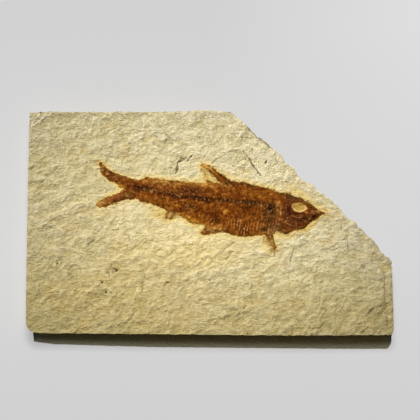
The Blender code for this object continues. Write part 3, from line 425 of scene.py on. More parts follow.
GOLD_PATCHES = [
    (-7, 1.4, 6, 1.4, -18, 1), (-4, 18.8, 8, 0.9, 0, 0.7), (-22, 20.4, 7, 1.2, -3, 0.35),
    (-46, 9.4, 2.6, 1.8, 10, 0.5), (-38, 17.4, 2.4, 2, 0, 0.9), (-2.2, 27.6, 1.6, 1, -25, 0.8),
    (20.6, -5, 2, 0.8, 0, 0.6), (-26, 11, 5, 1, -16, 0.5), (45.4, 2.6, 2.4, 0.8, 38, 0.6),
    (36, -2.8, 3, 0.8, 14, 0.4), (0.5, -3.5, 5, 1.9, -6, 0.35), (-16.8, 3.4, 2.6, 1.9, -30, 0.45),
    (26.3, -9, 1.8, 4.2, 8, 0.4), (-46, 27, 1.8, 3, 20, 0.45),
]
# Notches in the eye's outline, and paler (+) or darker (-) places in it.
EYE_DENTS = [(39.8, 10, 1.5, 1, -30, 0.25), (35.2, 9.9, 1.2, 0.9, 30, -0.16)]
EYE_PATCHES = [
    (35.4, 7.9, 0.6, 0.4, 0, -0.8), (36.6, 9.4, 0.9, 0.5, 10, 0.4), (37.4, 8.6, 1.6, 0.25, -8, -0.25),
]

# Places painted brighter (+) or darker (-) on top of the stone's painted light, by the slab's own places.
LIGHT_PATCHES = [
    (-8, -8, 26, 7, 8, 0.12), (-36, 6, 12, 7, 0, 0.12), (-40, 16, 4, 2.6, 0, -0.12),
    (38, 14, 7, 2.6, -36, -0.34), (45, -1, 4, 1.6, 38, -0.12),
]
# Stains in the stone round the fish: centre, reach along and across, turn in degrees and strength.
STAINS = [
    (-39, 17.2, 3.8, 3, 0, 0.2), (-37.2, 17.2, 1.6, 1.6, 0, 0.4), (-41.5, 20.6, 3.6, 1, -38, 0.3),
    (-42.2, 13.6, 4.6, 1, 27, 0.66), (-1.8, 24.2, 2, 3.6, 14, 1.05), (-1, 21.2, 3.4, 1.6, 0, 0.45),
    (1.6, 20.6, 3, 1.4, 0, 0.45), (-2.6, 26.6, 2, 1.2, -30, 0.7), (-5.4, 20.8, 4, 1.8, 0, 0.35),
    (-21.4, 4.8, 5, 2.4, -14, 0.85), (-18.4, 3.4, 2.2, 1.8, 0, 0.4), (23.6, -7.8, 1.8, 3.2, 14, 0.95),
    (25.9, -12.9, 2.4, 1.2, 0, 0.6), (28.4, -12.2, 1.4, 0.8, 30, 0.4), (-2.6, -2.6, 2, 2, 0, 0.45),
    (29, -5.2, 2, 1.4, 0, 0.5), (41.6, -1.4, 3, 1.2, 34, 0.45), (46.6, 8.4, 2.2, 1.2, -30, 0.3),
    (13, -7.2, 9, 1.6, -3, 0.1), (6, -10, 30, 9, 6, 0.2), (0, -16, 16, 7, 8, 0.14),
    (-46.6, 9, 1.8, 1.4, 0, 0.35), (24, 17.4, 6, 1.6, -18, 0.25), (-20, 21.6, 8, 1.4, -4, 0.25),
    (72.6, -20, 1.6, 2.2, 0, 0.34), (-22, -2, 14, 6, 0, 0.14), (-8, 0.2, 5, 1.4, -22, 0.5),
    (43.4, 1.2, 4.6, 0.9, 40, 0.5), (33, -5.6, 4, 1.2, 14, 0.35), (16, -6.2, 8, 0.7, 0, 0.2),
    (36, 17, 8, 3, -36, 0.24), (38, 15, 6, 1.2, -34, 0.5), (40.4, -2.4, 3.6, 0.8, 28, 0.6),
    (-2, 25.2, 0.6, 1.9, 16, 0.4), (-2.1, 23.1, 0.5, 1, 10, 0.5), (-3.7, 25.6, 0.5, 0.8, 0, 0.5),
]
# Brown marks in the stone: fin rays and flecks as lines with a half width and a strength.
INK_WAVER = 0.18
INK_LINES = [
    ([(-2.2, 26.9), (-1.2, 24.6), (-0.9, 22.6)], 0.24, 0.4),
    ([(-3.1, 26.6), (-2.3, 24.4), (-1.9, 22.4)], 0.24, 0.48), ([(-3.8, 26), (-3.6, 25)], 0.3, 0.62),
    ([(-2, 23.8), (-1.9, 22.4)], 0.26, 0.45), ([(-1, 20.4), (1.2, 19.3)], 0.34, 0.6),
    ([(-0.4, 25.4), (0.2, 23.6), (1, 22)], 0.24, 0.22),
    ([(-3.4, 28.2), (-1.8, 28), (0.2, 27.2)], 0.3, 0.45),
    ([(-15.4, 5.6), (-17.4, 3.6), (-18.4, 3.2)], 0.6, 0.55),
    ([(-18.6, 5), (-21, 4), (-23.6, 3.6)], 0.22, 0.35), ([(-18.8, 3.2), (-21.6, 2.8)], 0.2, 0.35),
    ([(24.4, -5.8), (23.6, -8.4), (24.4, -10.6)], 0.3, 0.45), ([(22.6, -5.8), (22.4, -8.6)], 0.28, 0.4),
    ([(25, -7.4), (25.2, -10)], 0.26, 0.4), ([(25.4, -12), (26.6, -13), (28.6, -12.4)], 0.36, 0.5),
    ([(27.2, -12.6), (26.9, -15)], 0.3, 0.5), ([(25.2, -11.4), (25.8, -13.4)], 0.26, 0.35),
    ([(-2.2, -0.6), (-2.6, -2.6), (-3.6, -3.4)], 0.34, 0.35), ([(-46.4, 25.6), (-45.8, 24.4)], 0.3, 0.45),
    ([(-47.9, 24.6), (-48.3, 22.9)], 0.28, 0.28), ([(-45.4, 21.6), (-44.4, 20.4)], 0.3, 0.35),
    ([(47.4, 7.3), (48.9, 6.6), (49.3, 5)], 0.22, 0.4), ([(-29, 10.6), (-27.6, 9.7)], 0.34, 0.4),
    ([(-24.8, 7.9), (-25, 7.2)], 0.26, 0.35), ([(28.6, -3), (30, -4.4)], 0.34, 0.4),
    ([(48.4, 4), (45.4, 1.3), (42.2, -1.6)], 0.16, 0.6), ([(-21.4, 4.6), (-22, 3.6)], 0.3, 0.45),
    ([(-19.6, 2.7), (-18.4, 2.3)], 0.3, 0.6), ([(-23.8, 6.8), (-24.6, 6)], 0.24, 0.45),
]

# ---- Colours ----
STONE = (0.636, 0.560, 0.330)
# Darker stone for random dark speckles, and painted shade in the hollows of the relief.
STONE_DARK_AND_SHADE = (0.420, 0.348, 0.160)
# Paler stone for random pale speckles and scratches, and painted highlight on the flakes of the relief.
STONE_PALE_AND_HIGHLIGHT = (0.860, 0.776, 0.555)
STONE_GREY = (0.590, 0.530, 0.400)
STONE_TAN = (0.600, 0.460, 0.220)
STAIN_LIGHT = (0.930, 0.690, 0.235)
STAIN_DEEP = (0.640, 0.380, 0.070)
INK = (0.150, 0.058, 0.010)
CRACK_DARK = (0.140, 0.080, 0.006)
GOLD = (0.500, 0.220, 0.020)
RIM = (0.110, 0.058, 0.006)
# Pale flecks of the bone, partly painted glints.
BONE_PALE_AND_GLINT = (0.800, 0.460, 0.150)
# Dark flecks of the bone, and also the painted shade close under the slab's front rim.
BONE_DARK_AND_SHADE = (0.020, 0.003, 0.000)
# Stone of the side faces: partly its own browner tone and partly painted shade, darker than the upper face.
SIDE_STONE_AND_SHADE = (0.410, 0.330, 0.135)
SIDE_DARK = tuple(0.70 * channel for channel in SIDE_STONE_AND_SHADE)
SIDE_PALE = tuple(1.5 * channel for channel in SIDE_STONE_AND_SHADE)
# Painted light at the foot of the side faces.
FOOT_PAINTED_LIGHT = (0.680, 0.640, 0.460)
WARM_TINT = (1.000, 0.930, 0.680)
WHITE = (1.0, 1.0, 1.0)
# Colour ramps from dark to pale: place and colour.
BONE_TONES = [
    (0.00, (0.020, 0.005, 0.000)), (0.25, (0.082, 0.019, 0.001)), (0.50, (0.172, 0.043, 0.002)),
    (0.70, (0.275, 0.085, 0.006)), (0.85, (0.430, 0.165, 0.014)), (1.00, (0.640, 0.310, 0.050)),
]
PLUM_TONES = [(0.0, (0.024, 0.007, 0.003)), (0.5, (0.115, 0.035, 0.010)), (1.0, (0.480, 0.240, 0.110))]
OLIVE_TONES = [(0.0, (0.016, 0.010, 0.003)), (0.5, (0.110, 0.062, 0.014)), (1.0, (0.550, 0.380, 0.130))]
EYE_TONES = [(0.0, (0.300, 0.150, 0.022)), (0.4, (0.480, 0.305, 0.070)), (1.0, (0.760, 0.520, 0.230))]

# ---- Studio, in metres ----
FLOOR_HALF = 3.0
FLOOR_DROP = 0.0002
FLOOR_COLOUR = (0.715, 0.715, 0.718)
# Painted light on the floor: its tones in front, behind and at the back right corner.
FLOOR_NEAR = (0.652, 0.652, 0.655)
FLOOR_FAR = (0.675, 0.675, 0.678)
FLOOR_CORNER = (0.770, 0.770, 0.776)
# Lights: name, place, width, power and colour.
OBJECT_LIGHTS = [
    ("key", (-0.50, 0.95, 0.80), 0.40, 24.4, (1.0, 0.99, 0.97)),
    ("overhead", (0.10, -0.22, 1.30), 0.40, 5.2, (1.0, 0.95, 0.84)),
]
SHADOWLESS_LIGHT = ("floor_light", (0.0, 0.0, 3.00), 0.60, 55.0, WHITE)
SHADOW_LIGHT = ("floor_shade", (0.0, 0.2, 3.00), 1.00, 27.5, WHITE)
LIGHT_TARGET = Vector((0.0, 0.0, 0.0))
WORLD_STRENGTH = 0.045
CAMERA_TARGET = (0.0006, 0.0054, 0.0120)
CAMERA_ELEVATION = math.radians(63.0)
CAMERA_DISTANCE = 1.2
CAMERA_LENS = 244.5


# ---- Noise and distances, all on arrays of places ----

class GradientNoise:
    """Smooth noise in the plane, about -1 to 1, the same each run."""

    def __init__(self, seed):
        rng = np.random.default_rng(seed)
        self.order = rng.permutation(256)
        turn = rng.uniform(0.0, 2.0 * math.pi, 256)
        self.slope_x = np.cos(turn)
        self.slope_y = np.sin(turn)

    def corner(self, column, row, dx, dy):
        """What one corner of the lattice adds at an offset from it."""
        pick = self.order[(self.order[column & 255] + row) & 255]
        return self.slope_x[pick] * dx + self.slope_y[pick] * dy

    def __call__(self, x, y):
        column = np.floor(x).astype(int)
        row = np.floor(y).astype(int)
        dx = x - column
        dy = y - row
        u = dx * dx * dx * (dx * (dx * 6.0 - 15.0) + 10.0)
        v = dy * dy * dy * (dy * (dy * 6.0 - 15.0) + 10.0)
        low = self.corner(column, row, dx, dy) * (1.0 - u) + self.corner(column + 1, row, dx - 1.0, dy) * u
        high = (self.corner(column, row + 1, dx, dy - 1.0) * (1.0 - u)
                + self.corner(column + 1, row + 1, dx - 1.0, dy - 1.0) * u)
        return 1.5 * (low * (1.0 - v) + high * v)


NOISES = [GradientNoise(seed) for seed in range(41, 53)]


def smooth(low, high, value):
    """0 below low, 1 above high, and an even turn between."""
    amount = np.clip((value - low) / (high - low), 0.0, 1.0)
    return amount * amount * (3.0 - 2.0 * amount)


def tapered(share, reach):
    """1 along a line, falling to 0 over the last share of it at both ends."""
    return smooth(0.0, reach, share) * smooth(0.0, reach, 1.0 - share)


def wave(place, spacing):
    """An even wave about zero."""
    return np.cos(2.0 * math.pi * place / spacing)


def curve(control, per_span=8):
    """Points of a smooth curve through the control points."""
    knots = np.array(control, float)
    padded = np.vstack([2.0 * knots[0] - knots[1], knots, 2.0 * knots[-1] - knots[-2]])
    steps = np.linspace(0.0, 1.0, per_span, endpoint=False)[:, None]
    points = []
    for a, b, c, d in zip(padded, padded[1:], padded[2:], padded[3:]):
        points.append(0.5 * (2.0 * b + (c - a) * steps + (2.0 * a - 5.0 * b + 4.0 * c - d) * steps ** 2
                             + (3.0 * b - a - 3.0 * c + d) * steps ** 3))
    return np.vstack(points + [knots[-1:]])


def span_lengths(line):
    """Length of each straight span of a line."""
    return np.hypot(*(line[1:] - line[:-1]).T)


def travel(line):
    """Distance along a line from its start to each of its points."""
    return np.concatenate([[0.0], np.cumsum(span_lengths(line))])


def line_field(x, y, line, reach=None):
    """Distance to a line, share of the way along it, and 1 or -1 for its left or right side."""
    line = np.asarray(line, float)
    best = np.full(x.shape, 1e9)
    share = np.zeros(x.shape)
    side = np.ones(x.shape)
    if reach is None:
        near = np.ones(x.shape, bool)
    else:
        low, high = line.min(0) - reach, line.max(0) + reach
        near = (x > low[0]) & (x < high[0]) & (y > low[1]) & (y < high[1])
    px, py = x[near], y[near]
    lengths = span_lengths(line)
    total = lengths.sum()
    travelled = 0.0
    found, part, way = best[near], share[near], side[near]
    for a, b, length in zip(line, line[1:], lengths):
        ux, uy = (b - a) / max(length, 1e-9)
        along = np.clip((px - a[0]) * ux + (py - a[1]) * uy, 0.0, length)
        ox, oy = px - a[0] - along * ux, py - a[1] - along * uy
        distance = np.hypot(ox, oy)
        closer = distance < found
        found = np.where(closer, distance, found)
        part = np.where(closer, (travelled + along) / total, part)
        way = np.where(closer, np.where(ux * oy - uy * ox >= 0.0, 1.0, -1.0), way)
        travelled += length
    best[near], share[near], side[near] = found, part, way
    return best, share, side


def patch(x, y, centre_x, centre_y, along, across, turn):
    """A soft round patch: 1 at its centre, falling away over its reach."""
    angle = math.radians(turn)
    dx, dy = x - centre_x, y - centre_y
    u = (dx * math.cos(angle) + dy * math.sin(angle)) / along
    v = (-dx * math.sin(angle) + dy * math.cos(angle)) / across
    return np.exp(-(u * u + v * v))


def patches(x, y, table):
    """The sum of a table of patches."""
    total = np.zeros(x.shape)
    for *where, strength in table:
        total += strength * patch(x, y, *where)
    return total


def is_inside(x, y, outline):
    """True where a place lies within a closed outline."""
    found = np.zeros(x.shape, bool)
    for a, b in zip(np.roll(outline, 1, 0), outline):
        if a[1] == b[1]:
            continue
        crosses = (a[1] > y) != (b[1] > y)
        at = a[0] + (y - a[1]) * (b[0] - a[0]) / (b[1] - a[1])
        found ^= crosses & (x < at)
    return found


# ---- Height of the stone ----

def turned(x, y):
    """Coordinates along and across the ripples."""
    c, s = math.cos(RIPPLE_ANGLE), math.sin(RIPPLE_ANGLE)
    return x * c + y * s, y * c - x * s


def calm(x, y):
    """0 on the flat bedding around the fish, 1 away from it."""
    from_fish = np.hypot((x - CALM_CENTRE[0]) / CALM_REACH[0], (y - CALM_CENTRE[1]) / CALM_REACH[1])
    return smooth(*CALM_TURN, from_fish)


def broad_relief(x, y):
    """The swell, ripples and ledges that the CAD part has too."""
    along, across = turned(x, y)
    swell = [noise.noise(Vector((a / SWELL_SPAN, b / SWELL_SPAN, SWELL_SLICE))) for a, b in zip(x, y)]
    ripple = [noise.noise(Vector((a / RIPPLE_LENGTH, b / RIPPLE_WIDTH, RIPPLE_SLICE)))
              for a, b in zip(along, across)]
    total = SWELL_HEIGHT * np.array(swell) + RIPPLE_HEIGHT * np.array(ripple)
    for line, step, reach in LEDGES:
        distance, share, side = line_field(x, y, line, reach)
        signed = distance * side
        rise = smooth(-LEDGE_FACE, LEDGE_FACE, signed) * (1.0 - smooth(LEDGE_FACE, reach, signed))
        total += step * rise * tapered(share, LEDGE_TAPER)
    return total * calm(x, y)


def fine_relief(x, y):
    """The crumbly bedding surface: flakes and pebbles of many sizes that run up to the right."""
    along, across = turned(x, y)
    u = along + WARP_ALONG * NOISES[0](along / WARP_SIZE, across / WARP_SIZE)
    v = across + WARP_ACROSS * NOISES[1](along / WARP_SIZE, across / WARP_SIZE)
    level = TERRACE_COUNT * NOISES[5](u / TERRACE_LENGTH, v / TERRACE_WIDTH)
    terrace = (np.floor(level) + smooth(0.36, 0.64, level - np.floor(level)) - level) / TERRACE_COUNT
    total = TERRACE_HEIGHT * terrace
    for number, (length, width, rise, pebbly) in enumerate(GRAINS):
        lump = NOISES[(number + 2) % 12](u / length, v / width)
        total += rise * (lump + pebbly * (np.abs(lump) - 0.3))
    patchy = 0.78 + 0.44 * smooth(-0.5, 0.6, NOISES[6](x / 17.0, y / 14.0))
    return (0.76 + 0.24 * calm(x, y)) * patchy * total


def nearest_line(x, y, table):
    """Signed distance to the nearest line of a table, in half widths, and its strength there."""
    distance = np.full(x.shape, MARK_REACH)
    strength = np.zeros(x.shape)
    for line, width, amount in table:
        gap, share, side = line_field(x, y, curve(line, 4), MARK_REACH * width)
        closer = gap / width < np.abs(distance)
        distance = np.where(closer, side * gap / width, distance)
        strength = np.where(closer, amount * tapered(share, MARK_TAPER), strength)
    return distance, strength * smooth(MARK_REACH, MARK_REACH - 1.0, np.abs(distance))


def marks(x, y):
    """Cracks, scratches, pits and rings: what they add to the height, and the masks that draw them."""
    waver_x = x + WAVER * NOISES[7](x / WAVER_SIZE, y / WAVER_SIZE)
    waver_y = y + WAVER * NOISES[8](x / WAVER_SIZE, y / WAVER_SIZE)
    crack, crack_dark = nearest_line(waver_x, waver_y, CRACKS)
    crack_dark *= 0.64 + 0.62 * smooth(-0.35, 0.35, NOISES[10](x / 1.4, y / 1.4))
    scratch, scratch_pale = nearest_line(waver_x, waver_y, SCRATCHES)
    lip = CRACK_LIP * np.sign(crack) * np.exp(-(crack / 3.0) ** 2)
    height = CRACK_DEPTH * crack_dark * (lip - np.exp(-(crack / 1.2) ** 2))
    height += SCRATCH_RISE * scratch_pale * np.exp(-scratch ** 2)
    pit = np.full(x.shape, MARK_REACH)
    pit_dark = np.zeros(x.shape)
    for centre_x, centre_y, radius, depth, darkness in PITS:
        distance = np.hypot(x - centre_x, y - centre_y) / radius
        height -= depth * np.exp(-distance ** 3)
        pit_dark = np.where(distance < pit, darkness, pit_dark)
        pit = np.minimum(pit, distance)
    ring_dark = np.zeros(x.shape)
    for centre_x, centre_y, radius, darkness in RINGS:
        distance = np.abs(np.hypot(waver_x - centre_x, waver_y - centre_y) - radius)
        ring = np.exp(-(distance / RING_HALF_WIDTH) ** 2)
        height -= RING_DEPTH * ring
        ring_dark = np.maximum(ring_dark, darkness * ring)
    masks = {
        "crack": crack, "crack_dark": crack_dark, "scratch": scratch, "scratch_pale": scratch_pale,
        "pit": pit, "pit_dark": pit_dark, "ring_dark": ring_dark,
    }
    return height, masks


def stone_height(x, y):
    """Height of the upper face over the underside, with the masks for its marks and its fine relief."""
    fine = fine_relief(x, y)
    cut, masks = marks(x, y)
    masks["relief"] = fine
    return THICKNESS + broad_relief(x, y) + fine + cut, masks


# ---- The fish's outline ----

def fish_outline():
    """The closed outline of the fish with its fins, anticlockwise, in its own frame."""
    runs = [
        BACK_FRONT, DORSAL_LEAD, DORSAL_TRAIL[::-1], BACK_REAR, UPPER_LOBE_LEAD, UPPER_LOBE_TRAIL[::-1],
        LOWER_LOBE_TRAIL, LOWER_LOBE_LEAD[::-1], BELLY_TAIL, ANAL_TRAIL, ANAL_LEAD[::-1], BELLY_REAR,
        PELVIC_TRAIL, PELVIC_LEAD[::-1], BELLY_FRONT, PECTORAL_TRAIL, PECTORAL_LEAD[::-1], THROAT,
    ]
    points = []
    for control in runs:
        for point in curve(control, 4):
            if not points or np.hypot(*(point - points[-1])) > 0.05:
                points.append(point)
    return np.array(points)


def depth_inside(x, y, outline):
    """Distance to the outline, positive within the fish, with a ragged edge."""
    closed = np.vstack([outline, outline[:1]])
    distance, _, _ = line_field(x, y, closed)
    signed = np.where(is_inside(x, y, outline), distance, -distance)
    tail = smooth(-30.0, -38.0, x)
    ragged = 0.30 * NOISES[9](x / 0.9, y / 0.9) + 0.20 * NOISES[10](x / 0.5, y / 0.5)
    return signed + ragged * (1.0 + 0.6 * tail - 0.35 * smooth(14.0, 22.0, x))


# ---- Meshes ----

def add_mesh(name, points, faces, material, masks):
    """A smooth shaded mesh object with a float attribute for each mask."""
    data = bpy.data.meshes.new(name)
    data.from_pydata((points * MM).tolist(), [], faces)
    data.polygons.foreach_set("use_smooth", [True] * len(data.polygons))
    for key, values in masks.items():
        layer = data.attributes.new(key, "FLOAT", "POINT")
        layer.data.foreach_set("value", np.asarray(values, np.float32))
    data.update()
    data.materials.append(material)
    item = bpy.data.objects.new(name, data)
    bpy.context.scene.collection.objects.link(item)
    return item


def grid_cells(index):
    """The four corners of each cell of a grid of point numbers, anticlockwise."""
    return np.stack([index[:-1, :-1], index[:-1, 1:], index[1:, 1:], index[1:, :-1]], -1)


def spread(line, count):
    """The line resampled at evenly spaced places."""
    line = np.asarray(line, float)
    travelled = travel(line)
    at = np.linspace(0.0, travelled[-1], count)
    return np.stack([np.interp(at, travelled, line[:, 0]), np.interp(at, travelled, line[:, 1])], 1)


def edge_roughness(points):
    """How rough the rim is: more on the broken corner than on the sawn edges."""
    distance, _, _ = line_field(points[:, 0], points[:, 1], [BREAK_START, BREAK_END])
    return 1.0 - smooth(BREAK_BAND - 3.0, BREAK_BAND, distance)


def roughened(points, seed):
    """A run of rim points, moved in and out by small notches, with its two ends kept."""
    step = np.gradient(points, axis=0)
    step /= np.hypot(*step.T)[:, None]
    across = np.stack([-step[:, 1], step[:, 0]], 1)
    travelled = travel(points)
    zero = np.zeros(len(points))
    broken = edge_roughness(points)
    notch = NOISES[seed](travelled / 1.7, zero + 0.4) * (0.10 + 0.30 * broken)
    notch += NOISES[seed + 1](travelled / 0.6, zero + 0.7) * (0.05 + 0.13 * broken)
    ends = np.minimum(travelled, travelled[-1] - travelled)
    return points + across * (notch * smooth(0.0, 1.0, ends))[:, None]


def top_grid():
    """Places of the upper face, as a grid that follows all four edges."""
    front = roughened(spread(FRONT, COLUMNS + 1), 2)
    back = roughened(spread(BACK, COLUMNS + 1), 3)
    left = roughened(spread(LEFT, ROWS + 1), 4)
    right = roughened(spread(RIGHT, ROWS + 1), 5)
    u = np.linspace(0.0, 1.0, COLUMNS + 1)[None, :, None]
    v = np.linspace(0.0, 1.0, ROWS + 1)[:, None, None]
    sides = (1.0 - v) * front[None] + v * back[None] + (1.0 - u) * left[:, None] + u * right[:, None]
    front_corners = (1.0 - u) * front[0] + u * front[-1]
    back_corners = (1.0 - u) * back[0] + u * back[-1]
    return sides - ((1.0 - v) * front_corners + v * back_corners)


def side_depth(row):
    """How far down a ring of the side face lies: the first is close under the rim, the last at the base."""
    return max(0.02, (row - 1) / (SIDE_ROWS - 1))


def side_offsets(rim, outward, row):
    """Places of one ring of the side face: layered and rough, hollow in front, with its broken corner."""
    depth = side_depth(row)
    drop = THICKNESS * depth
    travelled = travel(rim)
    zero = np.zeros(len(rim))
    broken = edge_roughness(rim)
    bed = int(np.searchsorted(BED_LEVELS, THICKNESS * (1.0 - depth)))
    shape = NOISES[bed % 12](travelled / 5.5, zero + 3.1 * bed)
    grain = NOISES[6](travelled / 1.1, zero + 1.9 * row)
    fade = smooth(0.0, 0.10, depth)
    rough = fade * ((0.10 + 0.75 * broken) * (0.5 + 0.5 * shape) + (0.05 + 0.16 * broken) * grain)
    inset = np.interp(depth, *np.array(SIDE_PROFILE).T)
    place = rim - outward * (inset + np.maximum(rough, 0.0))[:, None]

    foot = np.interp(rim[:, 0], *np.array(FOOT_LINE).T)
    front = rim[:, 1] + (foot - rim[:, 1]) * depth + np.interp(depth, *np.array(FRONT_PROFILE).T)
    front += (0.10 * shape + 0.06 * grain) * fade
    whole = smooth(-74.4, -72.4, rim[:, 0])
    place[:, 1] += (front - place[:, 1]) * whole * (rim[:, 1] < FRONT_BAND)

    limit = np.interp(place[:, 1] - CORNER_SLANT * drop, *np.array(CORNER_LIMIT).T) + CORNER_RUN * drop
    place[:, 0] = np.maximum(place[:, 0], limit)
    return place


# ---- The slab ----

def distance_to_rim(x, y, loop):
    """Distance from each place of the upper face to the nearest point of its rim."""
    tree = kdtree.KDTree(len(loop))
    for number, i in enumerate(loop):
        tree.insert((x[i], y[i], 0.0), number)
    tree.balance()
    return np.array([tree.find((a, b, 0.0))[2] for a, b in zip(x, y)])


def rim_drop(x, y, rim_distance):
    """How far the crumbled rim dips under the upper face: less along the sawn front edge."""
    crumble = 0.75 + 0.6 * NOISES[11](x / 1.9, y / 1.9)
    dip = (1.0 - smooth(0.0, RIM_BEVEL, rim_distance)) ** 1.5
    return RIM_DROP * (1.0 - 0.75 * smooth(-49.0, -50.5, y)) * crumble * dip


def ink_mask(x, y):
    """Brown flecks and stray fin rays in the stone round the fish."""
    ink_x = x - FISH_PLACE[0] + INK_WAVER * NOISES[8](x / 0.8, y / 0.8)
    ink_y = y - FISH_PLACE[1] + INK_WAVER * NOISES[9](x / 0.8, y / 0.8)
    ink = np.zeros(x.shape)
    for line, width, strength in INK_LINES:
        distance, _, _ = line_field(ink_x, ink_y, curve(line, 4), 2.0)
        ink = np.maximum(ink, 1.25 * strength * np.exp(-(distance / (width + 0.10)) ** 2))
    return np.clip(ink, 0.0, 0.9)


def painted_light_mask(x, y):
    """Painted light: brightest in the middle, falling off toward the edges, with a few brighter and darker
    places.
    """
    from_middle = np.hypot((x - 2.0) / 92.0, (y - 4.0) / 70.0)
    light = 1.42 - 0.66 * from_middle ** 1.2 + 0.06 * smooth(-5.0, 50.0, y)
    light += 0.08 * smooth(0.0, 28.0, x) * smooth(70.0, 46.0, x) * smooth(-42.0, -18.0, y)
    return light + patches(x, y, LIGHT_PATCHES)


def stone_masks(x, y, gap):
    """Masks for the colour of the upper face: the fish's halo, stains and ink, painted light, and warmth.
    """
    fish_x, fish_y = x - FISH_PLACE[0], y - FISH_PLACE[1]
    halo = (0.9 * smooth(-26.0, -32.0, fish_x) + 0.9 * patch(fish_x, fish_y, 12.0, -6.5, 11.0, 2.5, 0.0)
            + 0.8 * NOISES[4](x / 4.5, y / 4.5))
    ragged = 0.80 + 0.4 * NOISES[7](x / 1.3, y / 1.3)
    warm = 0.85 * smooth(-5.0, -50.0, y) + 0.40 * smooth(10.0, -50.0, x) - 0.15 * smooth(20.0, 50.0, y)
    warm += 0.40 * patch(x, y, -12.0, -14.0, 30.0, 13.0, 8.0)
    return {
        "gap": np.clip(gap + smooth(0.1, 0.8, gap) * halo, -2.0, 6.0),
        "stain": np.clip(patches(fish_x, fish_y, STAINS) * ragged, 0.0, 1.0),
        "ink": ink_mask(x, y),
        "light": painted_light_mask(x, y),
        "warm": np.clip(warm, 0.0, 1.0),
    }


def side_points(rim, rim_height):
    """Points of the side face, ring below ring."""
    step = np.roll(rim, -3, 0) - np.roll(rim, 3, 0)
    outward = np.stack([step[:, 1], -step[:, 0]], 1) / np.hypot(*step.T)[:, None]
    rings = []
    for row in range(1, SIDE_ROWS + 1):
        place = side_offsets(rim, outward, row)
        rings.append(np.column_stack([place, rim_height * (1.0 - side_depth(row))]))
    return np.vstack(rings)


def painted_side_light_and_shade(rim):
    """How pale the side face is painted: painted light at its foot, paler toward its far ends, and painted
    shade close under the front rim.
    """
    ends = 0.30 * smooth(-62.0, -72.0, rim[:, 0]) + 0.30 * smooth(71.0, 76.0, rim[:, 0])
    in_front = rim[:, 1] < FRONT_BAND
    rings = []
    for row in range(1, SIDE_ROWS + 1):
        depth = side_depth(row)
        shadow = 0.5 * smooth(0.17, 0.02, depth) * in_front
        rings.append(smooth(0.45, 1.0, depth) ** 3.2 + ends * depth - shadow)
    return np.clip(np.concatenate(rings), -0.5, 1.0)


def sharpen(data, loop):
    """Mark the edges along a loop of points as sharp."""
    pairs = np.zeros(2 * len(data.edges), int)
    data.edges.foreach_get("vertices", pairs)
    on_loop = np.isin(pairs, loop).reshape(-1, 2).all(1)
    data.attributes.new("sharp_edge", "BOOLEAN", "EDGE").data.foreach_set("value", on_loop)


def build_slab(material):
    """The limestone slab: a dense upper face, layered side faces and a flat underside."""
    grid = top_grid()
    x, y = grid[..., 0].ravel(), grid[..., 1].ravel()
    index = np.arange(len(x)).reshape(ROWS + 1, COLUMNS + 1)
    loop = np.concatenate([index[0, :], index[1:, -1], index[-1, -2::-1], index[-2:0:-1, 0]])
    rim_distance = distance_to_rim(x, y, loop)
    gap = -depth_inside(x - FISH_PLACE[0], y - FISH_PLACE[1], fish_outline())
    height, masks = stone_height(x, y)
    height -= rim_drop(x, y, rim_distance)
    height -= POCKET_DEPTH * smooth(-0.45, -1.2, gap)
    # Painted highlight: the relief mask is raised along the front rim, so the stone there is painted paler.
    masks["relief"] += 0.08 * smooth(0.8, 0.2, rim_distance) * smooth(-49.0, -51.0, y)
    masks.update(stone_masks(x, y, gap))

    rim = np.stack([x[loop], y[loop]], 1)
    points = np.vstack([np.stack([x, y, height], 1), side_points(rim, height[loop])])
    count = len(loop)
    rings = [loop] + [len(x) + count * row + np.arange(count) for row in range(SIDE_ROWS)]
    faces = grid_cells(index).reshape(-1, 4).tolist()
    for above, below in zip(rings, rings[1:]):
        faces += np.stack([above, below, np.roll(below, -1), np.roll(above, -1)], 1).tolist()
    faces.append(rings[-1][::-1].tolist())

    none = np.zeros(count * SIDE_ROWS)
    for key, values in masks.items():
        masks[key] = np.append(values, np.tile(values[loop], SIDE_ROWS) if key in SIDE_MASKS else none)
    masks["side"] = np.append(np.zeros(len(x)), none + 1.0)
    masks["foot"] = np.append(np.zeros(len(x)), painted_side_light_and_shade(rim))
    slab = add_mesh("stone_slab", points, faces, material, masks)
    slab.data.polygons[-1].use_smooth = False
    sharpen(slab.data, loop)
    return slab


# ---- The fish ----

def fish_cells(outline):
    """A fine square grid over the fish: its places, how deep inside they lie, and its cells."""
    low, high = outline.min(0) - 1.0, outline.max(0) + 1.0
    columns = int((high[0] - low[0]) / FISH_STEP) + 1
    rows = int((high[1] - low[1]) / FISH_STEP) + 1
    gx, gy = np.meshgrid(low[0] + FISH_STEP * np.arange(columns), low[1] + FISH_STEP * np.arange(rows))
    x, y = gx.ravel(), gy.ravel()
    depth = depth_inside(x, y, outline)
    keep = (depth > -SINK).reshape(rows, columns)
    whole = keep[:-1, :-1] & keep[:-1, 1:] & keep[1:, 1:] & keep[1:, :-1]
    cells = grid_cells(np.arange(rows * columns).reshape(rows, columns))[whole]
    used = np.unique(cells)
    renumber = np.full(rows * columns, -1)
    renumber[used] = np.arange(len(used))
    return x[used], y[used], depth[used], renumber[cells]


def border_walls(cells, count):
    """Points on the border of a grid, and walls down from it to their copies, numbered from a count on."""
    edges = np.sort(np.vstack([cells[:, [k, (k + 1) % 4]] for k in range(4)]), 1)
    unique, uses = np.unique(edges, axis=0, return_counts=True)
    border = set(map(tuple, unique[uses == 1].tolist()))
    walls = []
    for cell in cells.tolist():
        for a, b in zip(cell, cell[1:] + cell[:1]):
            if (min(a, b), max(a, b)) in border:
                walls.append((b, a))
    ring = np.unique(walls)
    below = {int(point): count + number for number, point in enumerate(ring)}
    return ring, [[b, a, below[a], below[b]] for b, a in walls]


